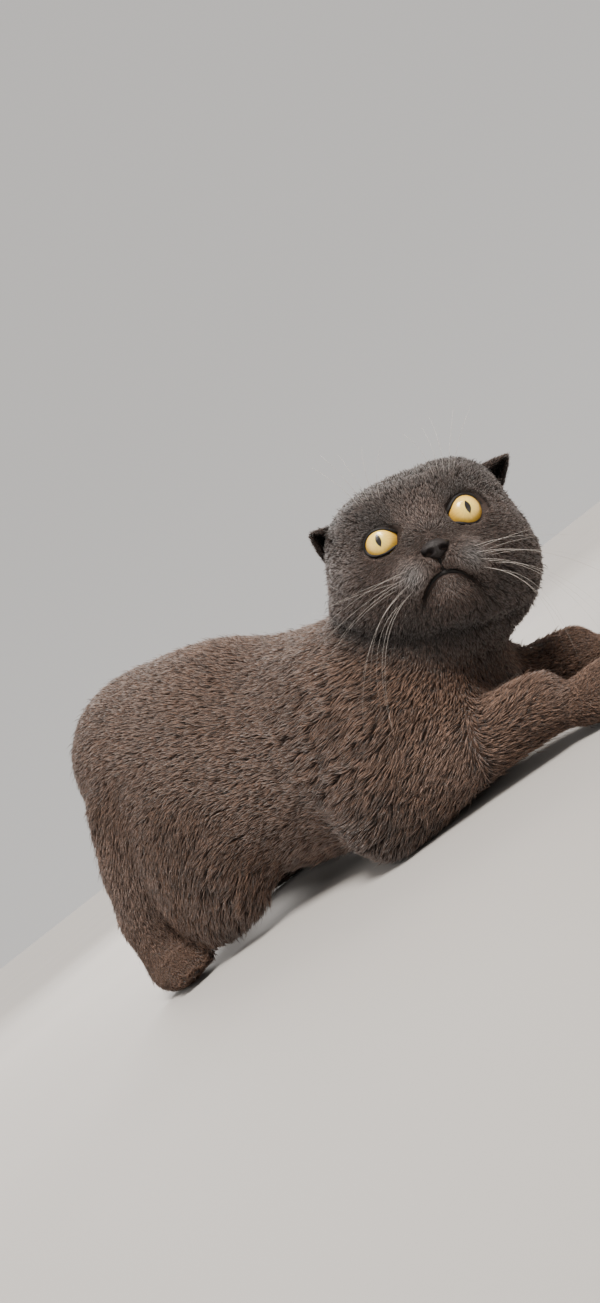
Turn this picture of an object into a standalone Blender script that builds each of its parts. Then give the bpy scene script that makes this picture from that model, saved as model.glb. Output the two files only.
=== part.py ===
"""A Scottish Fold cat in a low crouch, life size, as one still model in named pieces.

Metres, +Z up. The cat lies along X with its hips at -X, its right side at -Y and its head turned to its
right. It rests on Z = 0, and its box is centred on the origin. The surface modelled is the outside of the
short, dense coat. Pieces that meet keep a thin gap.
"""

import math

import bmesh
import bpy
import numpy as np
from mathutils import Euler, Matrix, Vector

# The gap that neighbouring pieces keep, and the share of it that each side of a cut gives up.
GAP = 0.0003
HALF_GAP = GAP / 2

# Cell sizes of the meshes that the pieces are parted from.
BODY_CELL = 0.0070
BODY_FACES_KEPT = 0.28
PAW_CELL = 0.0046
PAW_FACES_KEPT = 0.30
HEAD_CELL = 0.0030
HEAD_FACES_KEPT = 0.17

# Reach of the fillets between masses: firm where a form shows, soft where flesh runs on.
FIRM = 0.012
ROUND = 0.020
SOFT = 0.050
CREASED = 0.005
TOE_FILLET = 0.004
PAD_FILLET = 0.009
BEND_FILLET = 0.006

# The head's own frame: x out of the face, y to the cat's left, z to the crown.
HEAD_CENTRE = Vector((0.1575, -0.0055, 0.1386))
HEAD_YAW = math.radians(-57.5)
HEAD_PITCH = math.radians(-7)
HEAD_ROLL = math.radians(-18)
HEAD = Matrix.Translation(HEAD_CENTRE) @ (
    Matrix.Rotation(HEAD_YAW, 4, "Z")
    @ Matrix.Rotation(HEAD_PITCH, 4, "Y")
    @ Matrix.Rotation(HEAD_ROLL, 4, "X")
)

# The eyeball, how far its axis turns out, and the lids' thickness and opening.
EYE_RADIUS = 0.0125
EYE_PLACE = (0.0385, 0.0240, 0.0060)
EYE_TURN_OUT = math.radians(14)
LID = 0.0019
EYE_HALF_WIDTH = 0.0104
EYE_HALF_HEIGHT = 0.0093
LID_FLARE = 1.75
LID_CUT_DEPTH = (0.3 * EYE_RADIUS, 0.030)

# The nose leather, the nostrils in it, and the groove of the mouth.
NOSE_CENTRE = (0.0635, 0.0, -0.0135)
NOSE_RADII = (0.0076, 0.0082, 0.0056)
NOSTRIL_PLACE = (0.0670, 0.0046, -0.0145)
NOSTRIL_RADII = (0.0045, 0.0021, 0.0014)
MOUTH_GROOVE = 0.0013
MOUTH_CENTRE_Z = -0.0275
MOUTH_CORNER = (0.0180, -0.0405)
MOUTH_BOW = 0.0030

# The folded ears: half cones that lie forward along the head, open below, each with its tip out and up.
EAR_BASE = {"right": (-0.024, -0.0440, 0.0270), "left": (-0.024, 0.0480, 0.0310)}
EAR_TIP = {"right": (0.012, -0.0620, 0.0345), "left": (0.010, 0.0668, 0.0380)}
EAR_RADIUS = {"right": 0.0150, "left": 0.0135}
EAR_THICK = 0.0024
EAR_ARC = math.radians(105)
EAR_EDGE = 0.0012
EAR_TOP = (-0.15, 0.62, 0.78)
EAR_TAPER = 1.35

# Where the paws stand, how far each turns from straight ahead, and a toe's spacing.
FRONT_PAW = {"right": (0.208, -0.044, 0.0150), "left": (0.204, 0.050, 0.0150)}
ELBOW = (0.059, 0.070, 0.027)
FRONT_PAW_YAW = {"right": 0.15, "left": -0.20}
HIND_PAW = {"right": (-0.182, -0.070, 0.0150), "left": (-0.106, 0.074, 0.0150)}
HIND_PAW_YAW = {"right": -0.40, "left": 0.10}
PAW_RADII = (0.030, 0.0190, 0.0155)
TOE_RADII = (0.0125, 0.0062, 0.0095)
TOE_PITCH = 0.0090
TOE_REACH = 0.027
TOE_STEP_BACK = 0.003

# What is parted off round the front paw, the forearm, the upper arm, the hind paw and the shank.
FRONT_PAW_CUT = (0.042, 0.032, 0.040)
FOREARM_CUT = (0.088, 0.038, 0.034)
UPPER_ARM_CUT = ((0.070, 0.084, 0.062), (0.054, 0.040, 0.054), -0.5)
HIND_PAW_CUT = (0.044, 0.032, 0.036)
SHANK_CUT_SPARE = 0.006
SHANK_CUT_TOP = 0.6
SHANK_CUT_FOOT = 0.028
FOLDED_SHANK_CUT = ((-0.142, 0.067, 0.047), (0.047, 0.032, 0.034), -0.73)
THIGH_CUT = ((-0.104, 0.088, 0.086), (0.070, 0.046, 0.082))
NECK_CUT = ((0.128, -0.004, 0.112), (0.062, 0.090, 0.066), -0.4)
TAIL_CUT_SPARE = 0.005

SIDES = {"right": -1, "left": 1}

COAT = ("coat", (0.135, 0.108, 0.092), 0.85)
COAT_DARK = ("coat_dark", (0.090, 0.072, 0.062), 0.85)
IRIS = ("iris", (0.70, 0.43, 0.10), 0.12)
LEATHER = ("nose_leather", (0.030, 0.025, 0.026), 0.45)


def blend(a, b, reach):
    """The union of two fields, with a fillet about as wide as reach."""
    near = np.maximum(reach - np.abs(a - b), 0) / reach
    return np.minimum(a, b) - near**3 * reach / 6


def turned(pitch=0.0, yaw=0.0, roll=0.0):
    return Euler((roll, pitch, yaw)).to_matrix().to_4x4()


def mirrored(place, side):
    return Vector((place[0], side * place[1], place[2]))


class Mass:
    """An ellipsoid of flesh and coat."""

    def __init__(self, centre, radii, turn=None, frame=None):
        self.centre = Vector(centre)
        self.radii = np.array(radii, float)
        place = Matrix.Translation(centre) @ (turn or Matrix())
        self.place = (frame or Matrix()) @ place
        self.back = np.array(self.place.inverted(), float)

    def distance(self, points):
        local = points @ self.back[:3, :3].T + self.back[:3, 3]
        scaled = local / self.radii
        flat = np.linalg.norm(scaled, axis=1)
        steep = np.linalg.norm(scaled / self.radii, axis=1)
        return flat * (flat - 1) / np.maximum(steep, 1e-9)

    def mesh_into(self, bm, grow=0.0, fineness=3):
        size = Matrix.Diagonal([*(self.radii + grow), 1])
        bmesh.ops.create_icosphere(bm, subdivisions=fineness, radius=1, matrix=self.place @ size)

    def closed_mesh(self, grow=0.0):
        """The ellipsoid as a cutter, with few faces."""
        bm = bmesh.new()
        self.mesh_into(bm, grow, fineness=2)
        return bm


class Limb:
    """A round limb along a path, with a radius at each of its points."""

    def __init__(self, path, radii, frame=None):
        frame = frame or Matrix()
        self.path = [np.array(frame @ Vector(p), float) for p in path]
        self.radii = list(radii)

    def distance(self, points):
        nearest = np.full(len(points), 1e3)
        ends = zip(self.path, self.path[1:], self.radii, self.radii[1:])
        for start, end, r_start, r_end in ends:
            along = end - start
            share = np.clip((points - start) @ along / (along @ along), 0, 1)
            away = np.linalg.norm(points - start - share[:, None] * along, axis=1)
            nearest = blend(nearest, away - r_start - share * (r_end - r_start), BEND_FILLET)
        return nearest

    def mesh_into(self, bm):
        ends = zip(self.path, self.path[1:], self.radii, self.radii[1:])
        for start, end, r_start, r_end in ends:
            steps = 1 + int(np.linalg.norm(end - start) / (0.5 * min(r_start, r_end)))
            for share in np.linspace(0, 1, steps + 1):
                bmesh.ops.create_icosphere(
                    bm,
                    subdivisions=2,
                    radius=r_start + share * (r_end - r_start),
                    matrix=Matrix.Translation(start + share * (end - start)),
                )


class Tube:
    """A tube with flat ends round a path, which grooves a surface or parts a length of a limb."""

    def __init__(self, path, radii, sides=10):
        self.path = [Vector(place) for place in path]
        self.radii = [float(radius) for radius in radii]
        self.sides = sides

    def closed_mesh(self, grow=0.0):
        bm = bmesh.new()
        last = len(self.path) - 1
        across = Vector((0.3, 0.4, 1))
        rings = []
        for i, (place, radius) in enumerate(zip(self.path, self.radii)):
            ahead = (self.path[min(i + 1, last)] - self.path[max(i - 1, 0)]).normalized()
            across = (across - across.dot(ahead) * ahead).normalized()
            beside = ahead.cross(across)
            centre = place + ahead * grow * ((i == last) - (i == 0))
            ring = []
            for step in range(self.sides):
                angle = 2 * math.pi * step / self.sides
                spoke = math.cos(angle) * across + math.sin(angle) * beside
                ring.append(bm.verts.new(centre + (radius + grow) * spoke))
            rings.append(ring)
        for ring, following in zip(rings, rings[1:]):
            for i in range(self.sides):
                j = (i + 1) % self.sides
                bm.faces.new((ring[i], ring[j], following[j]))
                bm.faces.new((ring[i], following[j], following[i]))
        bm.faces.new(list(reversed(rings[0])))
        bm.faces.new(rings[-1])
        return bm


def smooth_path(points, per_span=5):
    """Rows along a smooth curve through the given rows, whatever their columns mean."""
    rows = np.array(points, float)
    rows = np.vstack([2 * rows[0] - rows[1], rows, 2 * rows[-1] - rows[-2]])
    out = []
    for a, b, c, d in zip(rows, rows[1:], rows[2:], rows[3:]):
        for t in np.arange(per_span) / per_span:
            out.append(
                0.5 * (2 * b + (c - a) * t + (2 * a - 5 * b + 4 * c - d) * t**2
                       + (3 * b - a - 3 * c + d) * t**3)
            )
    out.append(rows[-2])
    return np.array(out)


# What is parted off as the head, in the head's frame.
HEAD_CUT = Mass((0.004, 0, -0.006), (0.074, 0.082, 0.071), frame=HEAD)
HEAD_MARGIN = 0.004

# How far the fur of the turned head stands higher on the left, lower on the right and out at the right.
TILT = 0.0025


# The shape functions return pairs: a shape, and the reach of the fillet that joins it on.
def torso_shapes():
    hips = Mass((-0.134, 0, 0.156), (0.069, 0.066, 0.069), turned(pitch=0.20))
    loin = Mass((-0.070, 0, 0.139), (0.083, 0.068, 0.068), turned(pitch=0.25))
    belly = Mass((-0.045, 0, 0.096), (0.100, 0.077, 0.081), turned(pitch=0.10))
    ribs = Mass((0.035, 0, 0.076), (0.085, 0.073, 0.077), turned(pitch=0.15))
    breast = Mass((0.100, -0.003, 0.062), (0.050, 0.062, 0.063))
    return [(hips, FIRM), (loin, SOFT), (belly, SOFT), (ribs, SOFT), (breast, SOFT)]


def neck_shapes():
    nape = Limb([(0.070, 0, 0.086), (0.110, -0.004, 0.098), (0.142, -0.005, 0.106)],
                (0.044, 0.045, 0.044))
    return [(nape, ROUND)]


def front_leg_shapes(name):
    side = SIDES[name]
    paw = Vector(FRONT_PAW[name])
    yaw = FRONT_PAW_YAW[name]
    shoulder = Mass((0.064, side * 0.044, 0.084), (0.058, 0.036, 0.052), turned(pitch=-0.3))
    elbow = mirrored(ELBOW, side)
    wrist = paw + turned(yaw=yaw) @ Vector((-0.036, 0, 0.013))
    middle = elbow.lerp(wrist, 0.5) + Vector((0, 0, 0.004))
    upper_arm = Limb([(0.094, side * 0.046, 0.074), (0.074, side * 0.060, 0.046), elbow],
                     (0.040, 0.036, 0.027))
    forearm = Limb([elbow, middle, wrist], (0.027, 0.0240, 0.0195))
    return [
        (shoulder, SOFT),
        (upper_arm, SOFT),
        (forearm, ROUND),
        (Mass(paw, PAW_RADII, turned(yaw=yaw)), FIRM),
        *toe_shapes(paw, yaw),
    ]


def hind_leg_shapes(name):
    side = SIDES[name]
    paw = Vector(HIND_PAW[name])
    yaw = HIND_PAW_YAW[name]
    if name == "right":
        thigh = Mass((-0.106, side * 0.050, 0.083), (0.054, 0.039, 0.074), turned(pitch=0.15))
        calf = Mass((-0.132, side * 0.056, 0.046), (0.034, 0.026, 0.037), turned(pitch=0.35))
        hock = Vector((-0.190, side * 0.060, 0.060))
        shank = Limb([(-0.146, side * 0.054, 0.136), (-0.170, side * 0.060, 0.096), hock],
                     (0.028, 0.0245, 0.0215))
    else:
        thigh = Mass((-0.096, side * 0.050, 0.088), (0.060, 0.034, 0.064), turned(pitch=0.45))
        calf = Mass((-0.118, side * 0.052, 0.052), (0.036, 0.026, 0.032), turned(pitch=0.45))
        hock = Vector((-0.158, side * 0.070, 0.036))
        shank = Limb([(-0.120, side * 0.058, 0.070), (-0.142, side * 0.066, 0.050), hock],
                     (0.030, 0.0255, 0.0210))
    heel = paw + turned(yaw=yaw) @ Vector((-0.014, 0, 0.006))
    return [
        (thigh, ROUND),
        (calf, ROUND),
        (shank, FIRM),
        (Limb([hock, heel], (0.0210, 0.0180)), FIRM),
        (Mass(paw, PAW_RADII, turned(yaw=yaw)), FIRM),
        *toe_shapes(paw, yaw),
    ]


def toe_shapes(paw, yaw):
    """Four toes side by side at the front of a paw, the middle two ahead of the outer two."""
    turn = turned(yaw=yaw)
    shapes = []
    for step in (-1.5, -0.5, 0.5, 1.5):
        ahead = TOE_REACH - TOE_STEP_BACK * abs(step)
        place = paw + turn @ Vector((ahead, step * TOE_PITCH, -0.0025))
        shapes.append((Mass(place, TOE_RADII, turn), TOE_FILLET))
    return shapes


def tail_rows():
    """Places and radii along the tail, down the rump, round behind the feet and forward on the left."""
    return smooth_path([
        (-0.188, 0.004, 0.168, 0.0220),
        (-0.213, 0.010, 0.122, 0.0200),
        (-0.222, 0.024, 0.070, 0.0185),
        (-0.212, 0.056, 0.028, 0.0180),
        (-0.176, 0.098, 0.0172, 0.0178),
        (-0.120, 0.122, 0.0165, 0.0172),
        (-0.062, 0.126, 0.0155, 0.0160),
        (-0.014, 0.118, 0.0125, 0.0125),
    ])


def tail_shapes():
    rows = tail_rows()
    return [(Limb(rows[:, :3], rows[:, 3]), FIRM)]


def head_shapes():
    def mass(centre, radii, turn=None):
        return Mass(centre, radii, turn, HEAD)

    skull = mass((-0.006, 0, -0.003), (0.053, 0.063, 0.059))
    throat = mass((0.014, 0, -0.044), (0.038, 0.040, 0.024))
    shapes = [(skull, FIRM), (throat, ROUND)]
    for side in SIDES.values():
        cheek = mass((0.005, side * 0.0325 - TILT, -0.0230 + side * TILT), (0.040, 0.034, 0.037))
        crown = mass((-0.004, side * 0.0255, 0.0215 + side * TILT), (0.038, 0.0325, 0.0305))
        brow = mass((0.026, side * 0.022, 0.022), (0.018, 0.024, 0.016))
        cheekbone = mass((0.030, side * 0.030, -0.010), (0.019, 0.021, 0.016))
        shapes += [(cheek, ROUND), (crown, FIRM), (brow, ROUND), (cheekbone, ROUND)]
    bridge = Limb([(0.030, 0, 0.018), (0.0450, 0, 0.001), (0.0560, 0, -0.0090)],
                  (0.0170, 0.0130, 0.0088), HEAD)
    muzzle = mass((0.038, 0, -0.024), (0.024, 0.030, 0.021))
    shapes += [(bridge, ROUND), (muzzle, ROUND)]
    for side in SIDES.values():
        pad = mass((0.0490, side * 0.0130, -0.0225), (0.0165, 0.0165, 0.0110),
                   turned(yaw=side * 0.45, roll=side * -0.30))
        lids = mass(mirrored(EYE_PLACE, side), (EYE_RADIUS + LID,) * 3)
        shapes += [(pad, PAD_FILLET), (lids, PAD_FILLET)]
    chin = mass((0.0465, 0, -0.0420), (0.0125, 0.0150, 0.0120))
    shapes.append((chin, CREASED))
    return shapes


def whole_cat():
    shapes = torso_shapes() + neck_shapes()
    for name in SIDES:
        shapes += front_leg_shapes(name) + hind_leg_shapes(name)
    return shapes + tail_shapes() + head_shapes()


def field_of(shapes, points):
    value = np.full(len(points), 1e3)
    for shape, reach in shapes:
        value = blend(value, shape.distance(points), reach)
    return value


def settle(obj, shapes, rounds=4):
    """Moves the mesh's vertices onto the blended surface of the shapes, smoothing it between moves."""
    mesh = obj.data
    probe = 0.0004
    places = np.empty(len(mesh.vertices) * 3)
    for turn in range(rounds):
        if turn < rounds - 1:
            bm = bmesh.new()
            bm.from_mesh(mesh)
            bmesh.ops.smooth_vert(bm, verts=bm.verts, factor=0.5,
                                  use_axis_x=True, use_axis_y=True, use_axis_z=True)
            bm.to_mesh(mesh)
            bm.free()
        mesh.vertices.foreach_get("co", places)
        points = places.reshape(-1, 3)
        value = field_of(shapes, points)
        slope = np.stack(
            [(field_of(shapes, points + step) - field_of(shapes, points - step)) / (2 * probe)
             for step in np.eye(3) * probe], axis=1)
        steep = np.maximum((slope**2).sum(1), 0.2)
        points -= slope * (value / steep)[:, None]
        mesh.vertices.foreach_set("co", points.ravel())
    mesh.update()


def new_object(name, bm):
    mesh = bpy.data.meshes.new(name)
    bm.to_mesh(mesh)
    bm.free()
    obj = bpy.data.objects.new(name, mesh)
    bpy.context.scene.collection.objects.link(obj)
    return obj


def copy_of(obj, name):
    twin = obj.copy()
    twin.data = obj.data.copy()
    twin.name = name
    bpy.context.scene.collection.objects.link(twin)
    return twin


def apply_modifiers(obj):
    graph = bpy.context.evaluated_depsgraph_get()
    mesh = bpy.data.meshes.new_from_object(obj.evaluated_get(graph))
    obj.modifiers.clear()
    obj.data = mesh


def sculpt(name, shapes, cell, field=None):
    """One closed mesh over all the shapes, with cells of about the given size."""
    bm = bmesh.new()
    for shape, _ in shapes:
        shape.mesh_into(bm)
    obj = new_object(name, bm)
    remesh = obj.modifiers.new("Remesh", "REMESH")
    remesh.mode = "VOXEL"
    remesh.voxel_size = cell
    apply_modifiers(obj)
    settle(obj, field or shapes)
    return obj


def thin_out(obj, kept):
    """Drops faces where the surface is nearly flat, down to the share that is kept."""
    decimate = obj.modifiers.new("Decimate", "DECIMATE")
    decimate.ratio = kept
    apply_modifiers(obj)


def keep_largest(obj):
    """Keeps the largest closed surface of a mesh."""
    bm = bmesh.new()
    bm.from_mesh(obj.data)
    left = set(bm.faces)
    islands = []
    while left:
        seed = left.pop()
        island = [seed]
        front = [seed]
        while front:
            face = front.pop()
            for edge in face.edges:
                for other in edge.link_faces:
                    if other in left:
                        left.remove(other)
                        island.append(other)
                        front.append(other)
        islands.append(island)
    islands.sort(key=lambda island: sum(face.calc_area() for face in island))
    drop = [face for island in islands[:-1] for face in island]
    if drop:
        bmesh.ops.delete(bm, geom=drop, context="FACES")
    bm.to_mesh(obj.data)
    bm.free()


def boolean(obj, cutter, operation):
    """Cuts obj by a closed cutter, which stays as it is, by the solver that keeps closed meshes closed."""
    change = obj.modifiers.new("Boolean", "BOOLEAN")
    change.operation = operation
    change.object = cutter
    change.solver = "MANIFOLD"
    apply_modifiers(obj)


def cut_away(obj, bm):
    cutter = new_object("cutter", bm)
    boolean(obj, cutter, "DIFFERENCE")
    bpy.data.objects.remove(cutter)


def keep_within(obj, bm):
    cutter = new_object("cutter", bm)
    boolean(obj, cutter, "INTERSECT")
    bpy.data.objects.remove(cutter)


def part_off(rest, name, region, source=None):
    """Parts the piece of the cat inside a region from the rest, leaving the gap between the two."""
    piece = copy_of(source or rest, name)
    keep_within(piece, region.closed_mesh(-HALF_GAP))
    keep_largest(piece)
    cut_away(rest, region.closed_mesh(HALF_GAP))
    keep_largest(rest)
    return piece


def box_mesh(low, high):
    bm = bmesh.new()
    low = Vector(low)
    high = Vector(high)
    size = Matrix.Diagonal([*(high - low), 1])
    bmesh.ops.create_cube(bm, size=1, matrix=Matrix.Translation((low + high) / 2) @ size)
    return bm


def cut_at_floor(obj):
    cut_away(obj, box_mesh((-0.5, -0.5, -0.1), (0.5, 0.5, 0)))


def eye_turn(side):
    return Matrix.Rotation(side * EYE_TURN_OUT, 4, "Z")


def eye_frame(side):
    return HEAD @ Matrix.Translation(mirrored(EYE_PLACE, side)) @ eye_turn(side)


def ball_mesh(side, radius):
    """A ball at the eye's place, its poles on the eye's axis."""
    bm = bmesh.new()
    pole_ahead = Matrix.Rotation(math.pi / 2, 4, "Y")
    bmesh.ops.create_uvsphere(bm, u_segments=18, v_segments=10, radius=radius,
                              matrix=eye_frame(side) @ pole_ahead)
    return bm


def open_lids(head, side):
    """Cuts the room for the eyeball, then the opening between the lids."""
    cut_away(head, ball_mesh(side, EYE_RADIUS + GAP))
    start, end = LID_CUT_DEPTH
    bm = bmesh.new()
    size = Matrix.Diagonal([1, EYE_HALF_WIDTH / EYE_HALF_HEIGHT, 1, 1])
    along = Matrix.Rotation(math.pi / 2, 4, "Y")
    bmesh.ops.create_cone(
        bm,
        cap_ends=True,
        segments=24,
        radius1=EYE_HALF_HEIGHT,
        radius2=LID_FLARE * EYE_HALF_HEIGHT,
        depth=end - start,
        matrix=eye_frame(side) @ Matrix.Translation(((start + end) / 2, 0, 0)) @ size @ along,
    )
    cut_away(head, bm)


def on_face(y, z, shapes):
    """The point of the face's surface at a head-frame y and z, found by stepping in from the front."""
    steps = np.linspace(0.080, 0.020, 241)
    line = np.array([HEAD @ Vector((x, y, z)) for x in steps])
    inside = field_of(shapes, line) < 0
    return Vector((steps[np.argmax(inside)], y, z))


def mouth_curves(shapes):
    """The line of the lips from corner to corner, and the groove from it up to the nose."""
    corner_y, corner_z = MOUTH_CORNER
    lips = []
    for share in np.linspace(-1, 1, 15):
        drop = abs(share) ** 1.6
        z = MOUTH_CENTRE_Z + (corner_z - MOUTH_CENTRE_Z) * drop + MOUTH_BOW * abs(share) * (1 - abs(share))
        lips.append(on_face(share * corner_y, z, shapes))
    groove = [on_face(0, z, shapes) for z in np.linspace(MOUTH_CENTRE_Z, NOSE_CENTRE[2] - 0.0075, 4)]
    return lips, groove


def ear(name, grown_head):
    """A folded ear: a half cone along the head, open below, its root cut to the surface of the head."""
    base = Vector(EAR_BASE[name])
    tip = Vector(EAR_TIP[name])
    axis = (tip - base).normalized()
    top = mirrored(EAR_TOP, SIDES[name])
    top = (top - top.dot(axis) * axis).normalized()
    across = axis.cross(top)
    bm = bmesh.new()
    rows = []
    for along in np.linspace(0, 1, 6).tolist():
        outer = EAR_RADIUS[name] * (1 - along**EAR_TAPER) + EAR_EDGE
        inner = max(outer - EAR_THICK * (1 - 0.35 * along), EAR_EDGE / 4)
        centre = base.lerp(tip, along)
        row = []
        angles = np.linspace(-EAR_ARC, EAR_ARC, 9).tolist()
        for radius, fan in ((outer, angles), (inner, angles[::-1])):
            for a in fan:
                spoke = math.cos(a) * top + math.sin(a) * across
                row.append(bm.verts.new(HEAD @ (centre + radius * spoke)))
        rows.append(row)
    count = len(rows[0])
    for row, following in zip(rows, rows[1:]):
        for i in range(count):
            j = (i + 1) % count
            bm.faces.new((row[i], row[j], following[j], following[i]))
    bm.faces.new(list(reversed(rows[0])))
    bm.faces.new(rows[-1])
    bmesh.ops.triangulate(bm, faces=[face for face in bm.faces if len(face.verts) > 4])
    bmesh.ops.recalc_face_normals(bm, faces=bm.faces)
    obj = new_object(f"ear_{name}", bm)
    boolean(obj, grown_head, "DIFFERENCE")
    keep_largest(obj)
    return obj


def grown_copy(obj, amount):
    twin = copy_of(obj, "grown")
    displace = twin.modifiers.new("Displace", "DISPLACE")
    displace.strength = amount
    displace.mid_level = 0
    apply_modifiers(twin)
    return twin


def make_head(body):
    """The head with its lids and mouth, and the pieces set in it: eyes, nose and ears."""
    fore_part = torso_shapes()[3:] + neck_shapes() + head_shapes()
    for name in SIDES:
        fore_part += front_leg_shapes(name)[:2]
    head = sculpt("head", fore_part, HEAD_CELL, whole_cat())
    keep_within(head, HEAD_CUT.closed_mesh(HEAD_MARGIN))
    thin_out(head, HEAD_FACES_KEPT)
    grown = grown_copy(head, GAP * 1.2)
    pieces = [ear(name, grown) for name in SIDES]
    bpy.data.objects.remove(grown)
    nose = part_off(head, "nose", Mass(NOSE_CENTRE, NOSE_RADII, frame=HEAD))
    for side in SIDES.values():
        pit = Mass(mirrored(NOSTRIL_PLACE, side), NOSTRIL_RADII, turned(roll=side * 0.5), HEAD)
        cut_away(nose, pit.closed_mesh())
        open_lids(head, side)
    for curve in mouth_curves(head_shapes()):
        path = [HEAD @ place for place in curve]
        cut_away(head, Tube(path, [MOUTH_GROOVE] * len(path), 6).closed_mesh())
    keep_largest(head)
    keep_within(head, HEAD_CUT.closed_mesh(-HALF_GAP))
    keep_largest(head)
    cut_away(body, HEAD_CUT.closed_mesh(HALF_GAP))
    keep_largest(body)
    eyes = [new_object(f"eye_{name}", ball_mesh(side, EYE_RADIUS)) for name, side in SIDES.items()]
    return [head, nose, *pieces, *eyes]


def make_front_leg(body, name):
    """The paw, forearm and upper arm of one front leg, parted from the body."""
    side = SIDES[name]
    source = sculpt("source", front_leg_shapes(name), PAW_CELL)
    thin_out(source, PAW_FACES_KEPT)
    cut_at_floor(source)
    paw = Vector(FRONT_PAW[name])
    elbow = mirrored(ELBOW, side)
    forward = paw - elbow
    around_paw = Mass(paw, FRONT_PAW_CUT, turned(yaw=FRONT_PAW_YAW[name]))
    around_forearm = Mass(elbow + 0.42 * forward, FOREARM_CUT,
                          turned(yaw=math.atan2(forward.y, forward.x)))
    centre, radii, pitch = UPPER_ARM_CUT
    around_arm = Mass(mirrored(centre, side), radii, turned(pitch=pitch))
    pieces = [
        part_off(body, f"front_paw_{name}", around_paw, source),
        part_off(body, f"forearm_{name}", around_forearm),
        part_off(body, f"upper_arm_{name}", around_arm),
    ]
    bpy.data.objects.remove(source)
    return pieces


def around_shank(name):
    """What is parted off as the shank: a tube down the straighter leg, a mass round the folded one."""
    if name == "left":
        centre, radii, pitch = FOLDED_SHANK_CUT
        return Mass(centre, radii, turned(pitch=pitch))
    shank = hind_leg_shapes(name)[2][0]
    girth = np.array(shank.radii) + SHANK_CUT_SPARE
    girth[0] *= SHANK_CUT_TOP
    return Tube([*shank.path, HIND_PAW[name]], [*girth, SHANK_CUT_FOOT])


def make_hind_leg(body, name):
    """The paw, shank and thigh of one hind leg, parted from the body."""
    side = SIDES[name]
    source = sculpt("source", hind_leg_shapes(name), PAW_CELL)
    thin_out(source, PAW_FACES_KEPT)
    cut_at_floor(source)
    around_paw = Mass(HIND_PAW[name], HIND_PAW_CUT, turned(yaw=HIND_PAW_YAW[name]))
    centre, radii = THIGH_CUT
    around_thigh = Mass(mirrored(centre, side), radii)
    pieces = [
        part_off(body, f"hind_paw_{name}", around_paw, source),
        part_off(body, f"shank_{name}", around_shank(name)),
        part_off(body, f"thigh_{name}", around_thigh),
    ]
    bpy.data.objects.remove(source)
    return pieces


def make_tail(body):
    """The tail in three lengths, the last one first."""
    rows = tail_rows()
    beyond = 2 * rows[-1] - rows[-4]
    lengths = {
        "tail_tip": np.vstack([rows[24:], beyond]),
        "tail_middle": rows[12:25],
        "tail_base": rows[:13],
    }
    return [
        part_off(body, name, Tube(part[::2, :3], part[::2, 3] + TAIL_CUT_SPARE))
        for name, part in lengths.items()
    ]


def make_neck(body):
    centre, radii, pitch = NECK_CUT
    return [part_off(body, "neck", Mass(centre, radii, turned(pitch=pitch)))]


def material(look):
    name, colour, roughness = look
    found = bpy.data.materials.get(name)
    if found:
        return found
    made = bpy.data.materials.new(name)
    made.use_nodes = True
    shader = made.node_tree.nodes["Principled BSDF"]
    shader.inputs["Base Color"].default_value = (*colour, 1)
    shader.inputs["Roughness"].default_value = roughness
    shader.inputs["Metallic"].default_value = 0
    return made


def finish_piece(obj, shift):
    """Gives a piece its material and shading, and moves it with the rest onto the origin."""
    looks = {"eye": IRIS, "nose": LEATHER, "ear": COAT_DARK, "tail": COAT_DARK}
    look = looks.get(obj.name.split("_")[0], COAT)
    obj.data.materials.clear()
    obj.data.materials.append(material(look))
    obj.data.transform(Matrix.Translation(shift))
    obj.data.shade_smooth()
    obj.data.set_sharp_from_angle(angle=math.radians(45))


def shift_to_origin(pieces):
    """The move that centres the box of the whole cat on the origin in X and Y."""
    corners = [piece.matrix_world @ Vector(corner) for piece in pieces for corner in piece.bound_box]
    middle = [(min(c[i] for c in corners) + max(c[i] for c in corners)) / 2 for i in range(2)]
    return Vector((-middle[0], -middle[1], 0))


def main():
    for old in list(bpy.data.objects):
        bpy.data.objects.remove(old)
    body = sculpt("torso", whole_cat(), BODY_CELL)
    thin_out(body, BODY_FACES_KEPT)
    cut_at_floor(body)
    pieces = make_head(body)
    for name in SIDES:
        pieces += make_front_leg(body, name) + make_hind_leg(body, name)
    pieces += make_tail(body) + make_neck(body) + [body]
    bpy.context.view_layer.update()
    shift = shift_to_origin(pieces)
    for piece in pieces:
        finish_piece(piece, shift)


if __name__ == "__main__":
    main()
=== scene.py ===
"""Dresses the crouching Scottish Fold in its skin, coat, eyes and whiskers, and lights it on a pale floor."""

import math

import bmesh
import bpy
import numpy as np
from mathutils import Matrix, Vector, kdtree
from mathutils.bvhtree import BVHTree


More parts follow.
